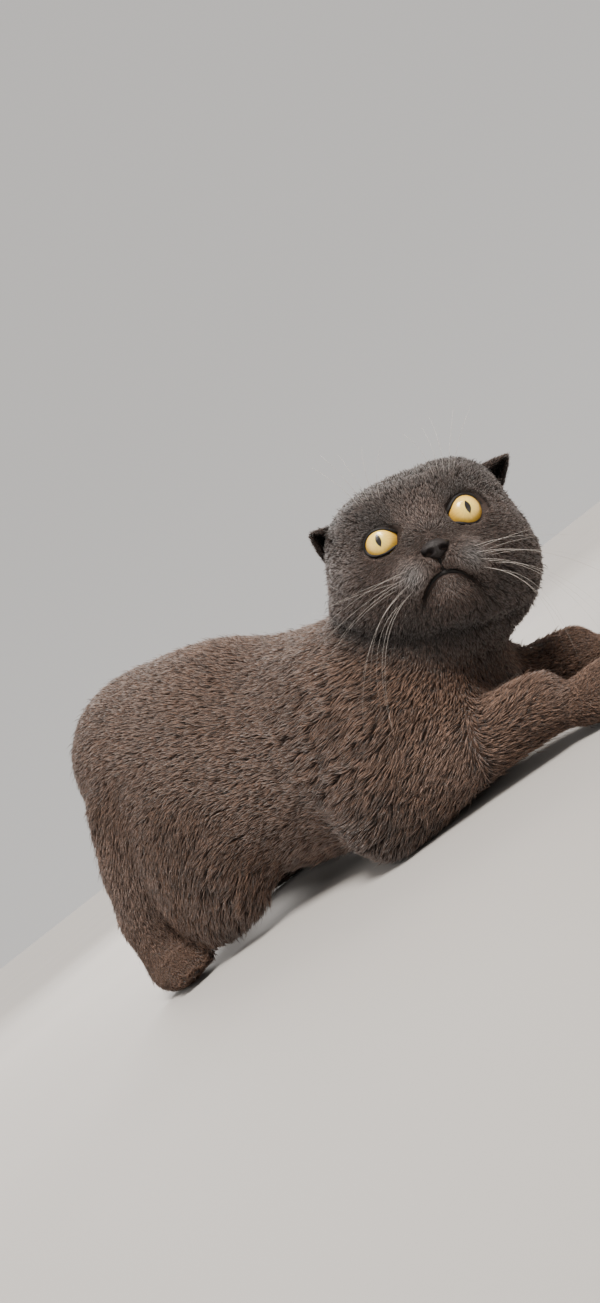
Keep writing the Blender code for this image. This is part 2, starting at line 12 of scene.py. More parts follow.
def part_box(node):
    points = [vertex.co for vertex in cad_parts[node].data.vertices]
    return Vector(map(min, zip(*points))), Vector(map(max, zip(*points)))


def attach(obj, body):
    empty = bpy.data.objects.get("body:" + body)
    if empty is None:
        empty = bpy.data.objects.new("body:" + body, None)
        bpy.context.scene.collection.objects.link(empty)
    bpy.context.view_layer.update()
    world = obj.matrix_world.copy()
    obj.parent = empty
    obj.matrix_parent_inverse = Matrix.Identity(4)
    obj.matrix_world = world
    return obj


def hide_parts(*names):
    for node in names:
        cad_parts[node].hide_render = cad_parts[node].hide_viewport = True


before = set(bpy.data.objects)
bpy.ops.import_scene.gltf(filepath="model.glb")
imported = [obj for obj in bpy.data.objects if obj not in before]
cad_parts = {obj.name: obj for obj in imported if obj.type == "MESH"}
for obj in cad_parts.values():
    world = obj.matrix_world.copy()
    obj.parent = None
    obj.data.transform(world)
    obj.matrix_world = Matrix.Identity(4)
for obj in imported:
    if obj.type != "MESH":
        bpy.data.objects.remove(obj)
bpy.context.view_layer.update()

bl_info = {
    "name": "Scottish Fold coat and looks",
    "version": (1, 0, 0),
    "blender": (4, 5, 0),
    "location": "3D View > Sidebar > Cat",
    "description": "Builds the cat's skin, coat, eyes, nose, whiskers and studio round the packed solids",
    "category": "Object",
}

IMAGE_SIZE = (600, 1303)
BAKE_MAP = "OFBake"
BODY = "root"
SIDES = {"right": -1, "left": 1}

EYES = ("eye_left", "eye_right")
EARS = ("ear_left", "ear_right")
FLESH = tuple(sorted(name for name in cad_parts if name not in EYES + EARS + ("nose",)))

# The head's own frame: x out of the face, y to the cat's left, z to the crown. The eyes fix its place.
HEAD_TURN = (
    Matrix.Rotation(math.radians(-57.5), 4, "Z")
    @ Matrix.Rotation(math.radians(-7), 4, "Y")
    @ Matrix.Rotation(math.radians(-18), 4, "X")
)
EYE_PLACE = Vector((0.0385, 0.0240, 0.0060))
EYE_TURN_OUT = math.radians(14)
EYE_RADIUS = 0.0125


def middle(node):
    low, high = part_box(node)
    return (low + high) / 2


EYES_MIDDLE = (middle("eye_left") + middle("eye_right")) / 2
HEAD = Matrix.Translation(EYES_MIDDLE - HEAD_TURN @ Vector((EYE_PLACE.x, 0, EYE_PLACE.z))) @ HEAD_TURN
FROM_HEAD = HEAD.inverted()
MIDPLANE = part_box("torso")[0].y * 0.5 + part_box("torso")[1].y * 0.5
CAMERA_FROM_EYES = Vector((0.20278, -0.49785, -0.04896))
CAMERA_AZIMUTH = math.radians(33)
CAMERA_PITCH = math.radians(4)
CAMERA_ROLL = math.radians(38)
FOCAL_PIXELS = 900
SENSOR_WIDTH = 36


def object_named(name, data):
    obj = bpy.data.objects.new(name, data)
    bpy.context.scene.collection.objects.link(obj)
    return obj


def only(obj):
    """Makes obj the one selected and active object."""
    if bpy.context.object and bpy.context.object.mode != "OBJECT":
        bpy.ops.object.mode_set(mode="OBJECT")
    bpy.ops.object.select_all(action="DESELECT")
    obj.select_set(True)
    bpy.context.view_layer.objects.active = obj
    return obj


def in_edit_mode(obj, work):
    only(obj)
    bpy.ops.object.mode_set(mode="EDIT")
    bpy.ops.mesh.select_all(action="SELECT")
    work()
    bpy.ops.object.mode_set(mode="OBJECT")


def placed(obj):
    """Applies the object's place and turn to its mesh, so that the object sits at the origin."""
    only(obj)
    bpy.ops.object.transform_apply(location=True, rotation=True, scale=True)
    return obj


def primitive(name, add, **settings):
    """One of Blender's own shapes, under the given name."""
    bpy.ops.object.select_all(action="DESELECT")
    add(**settings)
    made = bpy.context.object
    made.name = name
    return made


def settled(obj, material, replaced=()):
    """Gives the piece its material and its place in the part."""
    obj.data.materials.append(material)
    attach(obj, BODY)
    if replaced:
        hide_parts(*replaced)


def copies_joined(nodes, name):
    """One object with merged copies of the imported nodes."""
    twins = []
    for node in nodes:
        twin = object_named(name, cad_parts[node].data.copy())
        in_edit_mode(twin, lambda: bpy.ops.mesh.remove_doubles(threshold=1e-6))
        twins.append(twin)
    only(twins[0])
    for twin in twins:
        twin.select_set(True)
    if len(twins) > 1:
        bpy.ops.object.join()
    twins[0].name = name
    twins[0].data.materials.clear()
    return twins[0]


def applied(obj, kind, **settings):
    only(obj)
    modifier = obj.modifiers.new(kind, kind)
    for key, value in settings.items():
        setattr(modifier, key, value)
    bpy.ops.object.modifier_apply(modifier=modifier.name)


def points_of(mesh):
    places = np.empty(len(mesh.vertices) * 3, np.float32)
    mesh.vertices.foreach_get("co", places)
    return places.reshape(-1, 3).astype(float)


def set_points(mesh, points):
    mesh.vertices.foreach_set("co", points.astype(np.float32).ravel())
    mesh.update()


def normals_of(mesh):
    normals = np.empty(len(mesh.vertices) * 3, np.float32)
    mesh.vertices.foreach_get("normal", normals)
    return normals.reshape(-1, 3).astype(float)


def put_values(mesh, name, values):
    kind = "FLOAT_VECTOR" if values.ndim == 2 else "FLOAT"
    field = "vector" if values.ndim == 2 else "value"
    attribute = mesh.attributes.get(name) or mesh.attributes.new(name, kind, "POINT")
    attribute.data.foreach_set(field, values.astype(np.float32).ravel())


def values_of(mesh, name, columns=1):
    values = np.empty(len(mesh.vertices) * columns, np.float32)
    mesh.attributes[name].data.foreach_get("vector" if columns == 3 else "value", values)
    return values.reshape(-1, columns).astype(float) if columns > 1 else values.astype(float)


def smooth_step(low, high, value):
    share = np.clip((value - low) / (high - low), 0, 1)
    return share * share * (3 - 2 * share)


def unit(vectors):
    return vectors / np.maximum(np.linalg.norm(vectors, axis=1), 1e-9)[:, None]


def in_head(points):
    back = np.array(FROM_HEAD)
    return points @ back[:3, :3].T + back[:3, 3]


def out_of_head(vectors):
    return vectors @ np.array(HEAD)[:3, :3].T


def nearness(points, place, reach):
    return np.exp(-(((points - np.array(place)) / reach) ** 2).sum(1))


def on_front(local, place, reach):
    """How near the points are to a place on the front of the face, seen from straight ahead."""
    return nearness(local[:, 1:], place, reach) * smooth_step(0.020, 0.036, local[:, 0])


# The lie of the coat, as lines that the hair follows. Places are off the body's middle plane, for the
# right side and the left alike.
LIE_BOTH_SIDES = {
    "spine": [(0.090, 0.008, 0.145), (0.030, 0.008, 0.160), (-0.040, 0.008, 0.190), (-0.100, 0.008, 0.215),
              (-0.150, 0.008, 0.222), (-0.185, 0.008, 0.190), (-0.205, 0.008, 0.150)],
    "upper flank": [(0.080, 0.055, 0.125), (0.020, 0.062, 0.135), (-0.050, 0.062, 0.160),
                    (-0.110, 0.060, 0.185), (-0.160, 0.055, 0.180), (-0.190, 0.045, 0.140)],
    "middle flank": [(0.100, 0.065, 0.090), (0.040, 0.078, 0.095), (-0.020, 0.076, 0.115),
                     (-0.080, 0.074, 0.135), (-0.125, 0.075, 0.125), (-0.150, 0.075, 0.100)],
    "lower flank": [(0.020, 0.075, 0.045), (-0.040, 0.072, 0.060), (-0.085, 0.082, 0.062),
                    (-0.115, 0.080, 0.042), (-0.130, 0.070, 0.022)],
    "belly": [(0.080, 0.030, 0.010), (0.000, 0.035, 0.010), (-0.060, 0.040, 0.020), (-0.110, 0.040, 0.030)],
    "throat": [(0.150, 0.015, 0.085), (0.145, 0.018, 0.055), (0.130, 0.020, 0.028), (0.100, 0.020, 0.008)],
    "side of the chest": [(0.145, 0.045, 0.090), (0.118, 0.065, 0.078), (0.085, 0.076, 0.076)],
    "upper arm": [(0.125, 0.070, 0.072), (0.088, 0.084, 0.064), (0.045, 0.084, 0.058)],
    "shoulder": [(0.140, 0.070, 0.066), (0.112, 0.086, 0.050), (0.085, 0.092, 0.034), (0.060, 0.088, 0.016)],
    "elbow": [(0.112, 0.086, 0.030), (0.085, 0.090, 0.022), (0.055, 0.086, 0.014), (0.030, 0.078, 0.020)],
    "forearm": [(0.150, 0.068, 0.039), (0.170, 0.057, 0.039), (0.190, 0.048, 0.034), (0.216, 0.044, 0.026),
                (0.240, 0.042, 0.014)],
    "inner forearm": [(0.110, 0.040, 0.022), (0.150, 0.035, 0.028), (0.200, 0.026, 0.018)],
    "thigh": [(-0.075, 0.085, 0.112), (-0.100, 0.090, 0.085), (-0.122, 0.086, 0.052), (-0.132, 0.080, 0.028)],
}
LIE_RIGHT = {
    "shank": [(-0.132, 0.070, 0.140), (-0.160, 0.075, 0.108), (-0.180, 0.075, 0.078), (-0.192, 0.070, 0.050),
              (-0.190, 0.064, 0.028)],
    "hind paw": [(-0.190, 0.052, 0.034), (-0.170, 0.062, 0.032), (-0.145, 0.078, 0.016)],
}
LIE_LEFT = {
    "shank": [(-0.125, 0.072, 0.080), (-0.150, 0.076, 0.055), (-0.168, 0.072, 0.032)],
    "hind paw": [(-0.150, 0.066, 0.036), (-0.120, 0.074, 0.032), (-0.090, 0.076, 0.024),
                 (-0.068, 0.078, 0.012)],
    "tail": [(-0.190, 0.004, 0.168), (-0.215, 0.010, 0.122), (-0.224, 0.024, 0.070), (-0.214, 0.056, 0.028),
             (-0.178, 0.098, 0.017), (-0.122, 0.122, 0.017), (-0.064, 0.126, 0.016), (-0.010, 0.118, 0.012)],
}
LIE_REACH = 0.019

# In the head's frame: where its coat starts to spread from, the mouth's line and the nose.
FACE_SOURCE = Vector((0.0600, 0.0, -0.0040))
MOUTH_CENTRE_Z = -0.0272
MOUTH_CORNER = (0.0153, -0.0362)
MOUTH_BOW = 0.0030
NOSE_PLACE = Vector((0.0640, 0.0, -0.0135))

# The crease under the chin, from the right cheek round to the left, in the head's frame.
JAW_CREASE = ((0.020, -0.060, -0.030), (0.031, -0.056, -0.040), (0.039, -0.032, -0.055),
              (0.044, -0.003, -0.061), (0.034, 0.022, -0.063), (0.018, 0.040, -0.060))

# What stands out of the front of the face on the left, mirrored on the right: its y and z in the head's
# frame, reach and height. They are the pad of the whiskers, the brow, the pouch under the eye and half of
# the chin.
FACE_SWELLINGS = (
    ((0.0145, -0.0225), 0.0085, 0.0034),
    ((0.0250, 0.0190), 0.0080, 0.0022),
    ((0.0230, -0.0085), 0.0070, 0.0008),
    ((0.0030, -0.0395), 0.0075, 0.0020),
)

# Where each paw stands and how far it turns, and a groove between two toes: its places ahead and up.
PAWS = (
    ((0.2057, -0.0656), 0.15),
    ((0.2017, 0.0284), -0.20),
    ((-0.1843, -0.0916), -0.40),
    ((-0.1083, 0.0524), 0.10),
)
TOE_GROOVE = ((0.015, 0.024), (0.026, 0.0225), (0.034, 0.017), (0.039, 0.009), (0.0395, 0.002))
TOE_PITCH = 0.0090

# How deep each fold is pressed into the skin, and how wide it is.
LIPS_FOLD = (0.0034, 0.0020)
NOSE_FOLD = (0.0014, 0.0014)
JAW_FOLD = (0.0050, 0.0070)
TOE_FOLD = (0.0034, 0.0019)

# The skin's mesh, how deep it lies as a share of the coat's length, and how far it stays off the floor.
SKIN_VOXEL = 0.0024
SKIN_DEPTH = 0.38
SKIN_OFF_FLOOR = 0.0006

# The opening of each eye: half width, half height, how far its inner corner runs on, and where its middle
# lies off the eye's axis, across and upward.
EYE_OPENING = {
    "right": (0.0096, 0.0066, 0.0048, -0.0003, -0.0008),
    "left": (0.0098, 0.0087, 0.0034, 0.0016, 0.0),
}

# The tufts of each part of the coat: length, width, and how far they gather into locks, where that changes.
TUFTS = {
    "body": (0.0088, 0.00105, 0.14),
    "shoulder": (0.0120, 0.00115, 0.46),
    "skirt": (0.0125, 0.00115, 0.34),
    "belly": (0.0135, 0.00120, 0.30),
    "tail": (0.0125, 0.00115, 0.25),
    "limb": (0.0080, 0.0010, 0.16),
    "paw": (0.0042, 0.00068, 0.12),
    "between the toes": (0.0024, 0.00060, None),
    "head": (0.0074, 0.00080, 0.32),
    "face": (0.0050, 0.00064, 0.28),
    "muzzle": (0.0034, 0.00056, 0.22),
    "round the eyes": (0.0022, 0.00040, 0.0),
    "round the lips": (0.0013, 0.00040, None),
}

# Darker and paler places on the left of the face, mirrored on the right: how much paler, where in the
# head's frame, and how wide. The dark places over the eye and beside the chin are painted shade: the
# brow's shadow, and the shade under the whisker pads.
FACE_MARKS_AND_SHADE = {
    "painted brow shadow over the eye": (-0.62, (0.0465, 0.0240, 0.0130), 0.0105),
    "painted shade beside the chin": (-0.42, (0.0460, 0.0250, -0.0420), 0.0120),
    "under the eye": (0.16, (0.0485, 0.0200, -0.0100), 0.0080),
    "beside the nose": (-0.30, (0.0540, 0.0125, 0.0020), 0.0065),
    "cheek": (-0.30, (0.0360, 0.0370, -0.0300), 0.0170),
}
WHISKER_SPOT = 0.0010

# What a surface says of the coat at each of its points.
TUFT_VALUES = ("length", "width", "lock", "marking_and_shade", "cool")


def whisker_roots():
    """Where the whiskers grow: side, row, place in the row, and the head frame's y and z."""
    for side in SIDES.values():
        for row in range(4):
            for column in range(3):
                y = 0.0165 + 0.0046 * column + 0.0006 * row
                z = -0.0200 - 0.0034 * row - 0.0012 * column
                yield side, row, column, side * y, z


def lie_guides():
    """Places along the lines of the lie, each with the line's direction there."""
    places = []
    directions = []
    lines = [(line, side) for line in LIE_BOTH_SIDES.values() for side in SIDES.values()]
    lines += [(line, -1) for line in LIE_RIGHT.values()]
    lines += [(line, 1) for line in LIE_LEFT.values()]
    for line, side in lines:
        row = np.array([(x, MIDPLANE + side * y, z) for x, y, z in line])
        for start, end in zip(row, row[1:]):
            steps = max(2, int(np.linalg.norm(end - start) / 0.012))
            for share in (np.arange(steps) + 0.5) / steps:
                places.append(start + share * (end - start))
                directions.append((end - start) / np.linalg.norm(end - start))
    return places, directions


def lie_at(points, normals):
    """The direction in which the hair lies at each point, in the plane of the skin."""
    total = np.tile((-0.002, 0.0, -0.0005), (len(points), 1))
    for place, direction in zip(*lie_guides()):
        total += nearness(points, place, LIE_REACH)[:, None] * direction
    total = unit(total)
    local = in_head(points)
    spread = unit(local - np.array(FACE_SOURCE))
    spread[:, 0] -= 0.35
    for side in SIDES.values():
        eye = np.array((EYE_PLACE.x + 0.006, side * EYE_PLACE.y, EYE_PLACE.z))
        spread += 1.7 * nearness(local, eye, 0.0150)[:, None] * unit(local - eye)
    share = head_share(local)[:, None]
    total = (1 - share) * unit(total) + share * out_of_head(unit(spread))
    total -= (total * normals).sum(1)[:, None] * normals
    return unit(total)


def head_share(local):
    """1 on the head, running down to 0 on the neck."""
    ahead = np.where(local[:, 0] > 0, 0.092, 0.066)
    ring = np.hypot(local[:, 0] / ahead, np.hypot(local[:, 1] / 0.074, (local[:, 2] + 0.004) / 0.066))
    return 1 - smooth_step(0.96, 1.16, ring)


class Coat:
    """What the coat is like at each point: the tufts' length and width, how far they gather into locks, how
    pale they are, with the markings and the painted shade, and how cool they are."""

    def __init__(self, points):
        self.points = points
        self.local = in_head(points)
        self.head = head_share(self.local)
        self.length, self.width, self.lock = (np.full(len(points), start) for start in TUFTS["body"])
        self.marking_and_shade = np.zeros(len(points))
        self.cool = self.head * smooth_step(-0.030, 0.020, self.local[:, 0])
        self.body()
        self.limbs(self.tail())
        self.whole_head()
        self.folds()
        self.face()

    def tend(self, share, part):
        """Draws the tufts towards those of the named part, as far as the share says."""
        length, width, lock = TUFTS[part]
        self.length = self.length + share * (length - self.length)
        self.width = self.width + share * (width - self.width)
        if lock is not None:
            self.lock = self.lock + share * (lock - self.lock)

    def body(self):
        points = self.points
        for side in SIDES.values():
            shoulder = nearness(points, (0.075, MIDPLANE + side * 0.085, 0.055), 0.050)
            self.tend(np.minimum(1.5 * shoulder, 1), "shoulder")
            # Painted shade under the elbow, low by the floor.
            self.marking_and_shade -= 0.50 * nearness(points, (0.070, MIDPLANE + side * 0.088, 0.018), 0.034)
            skirt = np.minimum(1.5 * nearness(points, (-0.110, MIDPLANE + side * 0.085, 0.045), 0.042), 1)
            self.tend(skirt, "skirt")
            # The skirt darker and browner: partly the coat's own tone, partly painted shade low on the flank.
            self.marking_and_shade -= 0.16 * skirt
        self.tend(smooth_step(0.060, 0.025, points[:, 2]) * smooth_step(0.06, -0.02, points[:, 0]), "belly")
        self.marking_and_shade += 0.75 * nearness(points, middle("shank_right"), 0.040)
        # Painted shade low down, near the floor.
        self.marking_and_shade -= 0.15 * smooth_step(0.035, 0.0, points[:, 2])
        # Painted shadow of the head on the chest.
        self.marking_and_shade -= 0.20 * nearness(points, (0.145, MIDPLANE, 0.050), 0.045)

    def tail(self):
        """Lays the coat of the tail, and returns where the tail is."""
        points = self.points
        tail = np.zeros(len(points))
        for node in ("tail_base", "tail_middle", "tail_tip"):
            low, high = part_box(node)
            inside = ((points > np.array(low) - 0.002) & (points < np.array(high) + 0.002)).all(1)
            tail = np.maximum(tail, inside)
        outward = smooth_step(0.062, 0.082, points[:, 1] - MIDPLANE) * (points[:, 2] < 0.040)
        tail *= np.clip(outward + smooth_step(-0.205, -0.213, points[:, 0]), 0, 1)
        self.tend(tail, "tail")
        self.marking_and_shade -= 0.10 * tail
        return tail

    def limbs(self, tail):
        for kind, part, share, reach, paler in (
            ("forearm", "limb", 1.4, 0.038, 0.35),
            ("shank", "limb", 1.4, 0.038, 0.0),
            ("front_paw", "paw", 1.6, 0.034, 0.15),
            ("hind_paw", "paw", 1.6, 0.034, 0.15),
        ):
            for side in SIDES:
                near = nearness(self.points, middle(f"{kind}_{side}"), reach)
                near = np.minimum(share * near, 1) * (1 - tail)
                self.tend(near, part)
                self.marking_and_shade += paler * near

    def whole_head(self):
        local = self.local
        self.tend(self.head, "head")
        self.tend(self.head * smooth_step(0.012, 0.042, local[:, 0]), "face")
        muzzle = self.head * np.minimum(1.5 * nearness(local, (0.056, 0, -0.020), 0.021), 1)
        self.tend(muzzle, "muzzle")
        self.marking_and_shade += 0.10 * muzzle
        self.marking_and_shade += 0.25 * self.head * nearness(local, (0.058, 0, 0.008), 0.0110)
        self.marking_and_shade -= 0.40 * self.cool * smooth_step(0.004, 0.030, local[:, 2])

    def folds(self):
        """Short tufts between the toes, darkened with painted shade, and painted shade on the tufts in the
        crease under the chin and below it.
        """
        between_toes = sum(np.exp(-((line_gap(self.points, line) / 0.0022) ** 2)) for line in toe_grooves())
        self.tend(np.minimum(2 * between_toes, 1), "between the toes")
        # Painted shade in the gaps between the toes.
        self.marking_and_shade -= 0.40 * between_toes
        # Painted shade in the crease under the chin and just below it.
        self.marking_and_shade -= 0.70 * np.exp(-((line_gap(self.local, JAW_CREASE) / 0.0085) ** 2))
        self.marking_and_shade -= 0.35 * nearness(self.local, (0.046, -0.002, -0.058), 0.0150)

    def face(self):
        """The short hair round the eyes and lips, the pale pads and chin, and the spots of the whiskers."""
        local = self.local
        for side in SIDES.values():
            eye = (EYE_PLACE.x + 0.008, side * EYE_PLACE.y, EYE_PLACE.z)
            self.tend(self.head * np.minimum(1.8 * nearness(local, eye, 0.0150), 1), "round the eyes")
            self.marking_and_shade += 2.3 * on_front(local, (side * 0.0170, -0.0240), 0.0092)
            for paler, place, reach in FACE_MARKS_AND_SHADE.values():
                self.marking_and_shade += paler * self.head * nearness(local, np.array(place) * (1, side, 1), reach)
        for _, _, _, y, z in whisker_roots():
            spot = (local - (0.055, y, z)) * (0.2, 1, 1)
            self.marking_and_shade -= 0.42 * self.head * np.exp(-((spot / WHISKER_SPOT) ** 2).sum(1))
        self.marking_and_shade += 0.60 * on_front(local, (0.001, -0.0350), 0.0060)
        at_lips = np.exp(-((line_gap(local[:, 1:], mouth_line()) / 0.0026) ** 2)) * (local[:, 0] > 0.035)
        self.tend(at_lips, "round the lips")
        self.marking_and_shade -= 0.70 * at_lips


def mouth_line():
    """The line of the lips from corner to corner, as the head frame's y and z."""
    share = np.linspace(-1, 1, 33)
    fall = (MOUTH_CORNER[1] - MOUTH_CENTRE_Z) * np.abs(share) ** 1.6
    bow = MOUTH_BOW * np.abs(share) * (1 - np.abs(share))
    return np.stack([share * MOUTH_CORNER[0], MOUTH_CENTRE_Z + fall + bow], 1)


def nose_groove():
    """The groove from the lips up to the nose, as the head frame's y and z."""
    return np.stack([np.zeros(7), np.linspace(MOUTH_CENTRE_Z, NOSE_PLACE.z - 0.004, 7)], 1)


def line_gap(points, line):
    """How far each point is from a line of places."""
    gap = np.full(len(points), 1.0)
    line = np.array(line, float)
    for start, end in zip(line, line[1:]):
        along = end - start
        share = np.clip((points - start) @ along / (along @ along), 0, 1)
        gap = np.minimum(gap, np.linalg.norm(points - start - share[:, None] * along, axis=1))
    return gap


def on_face(tree, y, z):
    """The point of the surface straight ahead of the given y and z of the head's frame, and its normal."""
    ahead = HEAD_TURN.to_3x3() @ Vector((-1, 0, 0))
    place, normal, _, _ = tree.ray_cast(HEAD @ Vector((0.12, y, z)), ahead)
    return place, normal


def toe_grooves():
    """The lines between the toes of all four paws."""
    lines = []
    for (x, y), yaw in PAWS:
        for step in (-1, 0, 1):
            lines.append([
                (x + ahead * math.cos(yaw) - step * TOE_PITCH * math.sin(yaw),
                 y + ahead * math.sin(yaw) + step * TOE_PITCH * math.cos(yaw), up)
                for ahead, up in TOE_GROOVE
            ])
    return lines


def laid_on(tree, line):
    """The line's places on the face, given as the head frame's y and z."""
    return [on_face(tree, y, z)[0] for y, z in line.tolist()]


def pressed(points, normals, line, depth, reach):
    """Sinks the surface along a line of points."""
    return points - normals * (depth * np.exp(-((line_gap(points, line) / reach) ** 2)))[:, None]


def unwrap(obj):
    """Lays the piece's own surface out flat in the map that its colours are baked to."""
    obj.data.uv_layers.new(name=BAKE_MAP)
    in_edit_mode(obj, lambda: bpy.ops.uv.smart_project(angle_limit=1.15, island_margin=0.002))


def smoothed_surface():
    """The flesh as one closed mesh, whose cuts are smoothed away and whose head and paws keep their form."""
    skin = copies_joined(FLESH + ("nose",) + EYES, "skin")
    skin.data.remesh_voxel_size = SKIN_VOXEL
    skin.data.remesh_voxel_adaptivity = 0
    bpy.ops.object.voxel_remesh()
    keep_outer_surface(skin)
    points = points_of(skin.data)
    fine = head_share(in_head(points))
    for name in ("front_paw_left", "front_paw_right", "hind_paw_left", "hind_paw_right"):
        fine = np.maximum(fine, 1.3 * nearness(points, middle(name), 0.035))
    fine = np.clip(fine, 0, 1)
    coarse = skin.vertex_groups.new(name="coarse")
    for level in range(5):
        chosen = np.nonzero((fine >= level / 5) & (fine < (level + 1) / 5 + (level == 4)))[0]
        coarse.add(chosen.tolist(), 1 - level / 4, "REPLACE")
    applied(skin, "SMOOTH", factor=0.5, iterations=3)
    applied(skin, "SMOOTH", factor=0.5, iterations=40, vertex_group="coarse")
    return skin


def swollen(points, normals):
    """Raises the swellings of the face."""
    swelling = np.zeros(len(points))
    local = in_head(points)
    for side in SIDES.values():
        for (y, z), reach, height in FACE_SWELLINGS:
            swelling += height * on_front(local, (side * y, z), reach)
    return points + normals * swelling[:, None]


def make_skin():
    """One skin under the whole coat, without seams, sunk into the solids by part of the coat's depth."""
    skin = smoothed_surface()
    mesh = skin.data
    finer_face(skin)
    points = points_of(mesh)
    coat = Coat(points)
    set_points(mesh, points - normals_of(mesh) * (SKIN_DEPTH * coat.length)[:, None])
    applied(skin, "SMOOTH", factor=0.5, iterations=1)
    set_points(mesh, laid_over_eyes(swollen(points_of(mesh), normals_of(mesh))))
    tree = BVHTree.FromObject(skin, bpy.context.evaluated_depsgraph_get())
    points = points_of(mesh)
    normals = normals_of(mesh)
    points = pressed(points, normals, laid_on(tree, mouth_line()), *LIPS_FOLD)
    points = pressed(points, normals, laid_on(tree, nose_groove()), *NOSE_FOLD)
    points = pressed(points, normals, [tuple(HEAD @ Vector(place)) for place in JAW_CREASE], *JAW_FOLD)
    for line in toe_grooves():
        points = pressed(points, normals, line, *TOE_FOLD)
    points[:, 2] = np.maximum(points[:, 2], SKIN_OFF_FLOOR)
    set_points(mesh, points)
    put_values(mesh, "lie", lie_at(points, normals_of(mesh)))
    for name in TUFT_VALUES:
        put_values(mesh, name, getattr(coat, name))
    mesh.shade_smooth()
    unwrap(skin)
    return skin


def finer_face(skin):
    """Splits the faces of the muzzle, the eyes and the toes, where the folds are finer than the rest."""
    mesh = skin.data
    middles = np.empty(len(mesh.polygons) * 3, np.float32)
    mesh.polygons.foreach_get("center", middles)
    places = middles.reshape(-1, 3).astype(float)
    chosen = np.linalg.norm((in_head(places) - (0.050, 0, -0.014)) / (0.030, 0.040, 0.036), axis=1) < 1
    for line in toe_grooves():
        chosen |= line_gap(places, line) < 0.0060
    only(skin)
    bpy.ops.object.mode_set(mode="EDIT")
    bpy.ops.mesh.select_mode(type="FACE")
    bpy.ops.mesh.select_all(action="DESELECT")
    bpy.ops.object.mode_set(mode="OBJECT")
    mesh.polygons.foreach_set("select", chosen)
    bpy.ops.object.mode_set(mode="EDIT")
    bpy.ops.mesh.subdivide(number_cuts=1, smoothness=0.6)
    bpy.ops.mesh.select_mode(type="VERT")
    bpy.ops.object.mode_set(mode="OBJECT")


def keep_outer_surface(obj):
    """Drops all but the largest closed surface."""
    bm = bmesh.new()
    bm.from_mesh(obj.data)
    left = set(bm.verts)
    islands = []
    while left:
        seed = left.pop()
        island = [seed]
        front = [seed]
        while front:
            for edge in front.pop().link_edges:
                for vert in edge.verts:
                    if vert in left:
                        left.remove(vert)
                        island.append(vert)
                        front.append(vert)
        islands.append(island)
    islands.sort(key=len)
    for island in islands[:-1]:
        bmesh.ops.delete(bm, geom=island, context="VERTS")
    bm.to_mesh(obj.data)
    bm.free()


class Roots:
    """Places on a surface where tufts grow, with all that the surface says there."""

    def __init__(self, obj, count, rng, allowed=None):
        mesh = obj.data
        mesh.calc_loop_triangles()
        total = len(mesh.loop_triangles)
        corners = np.empty(total * 3, np.int32)
        loops = np.empty(total * 3, np.int32)
        mesh.loop_triangles.foreach_get("vertices", corners)
        mesh.loop_triangles.foreach_get("loops", loops)
        corners = corners.reshape(-1, 3)
        loops = loops.reshape(-1, 3)
        points = points_of(mesh)
        uv = np.empty(len(mesh.loops) * 2, np.float32)
        mesh.uv_layers[BAKE_MAP].uv.foreach_get("vector", uv)
        uv = uv.reshape(-1, 2).astype(float)
        a, b, c = (points[corners[:, i]] for i in range(3))
        area = np.linalg.norm(np.cross(b - a, c - a), axis=1) / 2
        width = values_of(mesh, "width")[corners].mean(1)
        demand = area / width**2
        if allowed is not None:
            demand *= allowed[corners].min(1)
        filled = np.cumsum(demand)
        picks = (np.arange(count) + rng.random(count)) * (filled[-1] / count)
        face = np.minimum(np.searchsorted(filled, picks), total - 1)
        u = rng.random(count)
        v = rng.random(count)
        fold = u + v > 1
        u[fold] = 1 - u[fold]
        v[fold] = 1 - v[fold]
        share = np.stack([1 - u - v, u, v], 1)
        at = corners[face]

        def blended(values):
            return (values[at] * (share if values.ndim == 1 else share[:, :, None])).sum(1)

        self.place = blended(points)
        self.normal = unit(blended(normals_of(mesh)))
        lie = blended(values_of(mesh, "lie", 3))
        self.lie = unit(lie - (lie * self.normal).sum(1)[:, None] * self.normal)
        for name in TUFT_VALUES:
            setattr(self, name, blended(values_of(mesh, name)))
        self.uv = (uv[loops[face]] * share[:, :, None]).sum(1)


def nearest_seed(places, seeds):
    tree = kdtree.KDTree(len(seeds))
    for i, place in enumerate(seeds.tolist()):
        tree.insert(place, i)
    tree.balance()
    return np.array([tree.find(place)[1] for place in places.tolist()])


TUFTS_IN_LOCK = 30


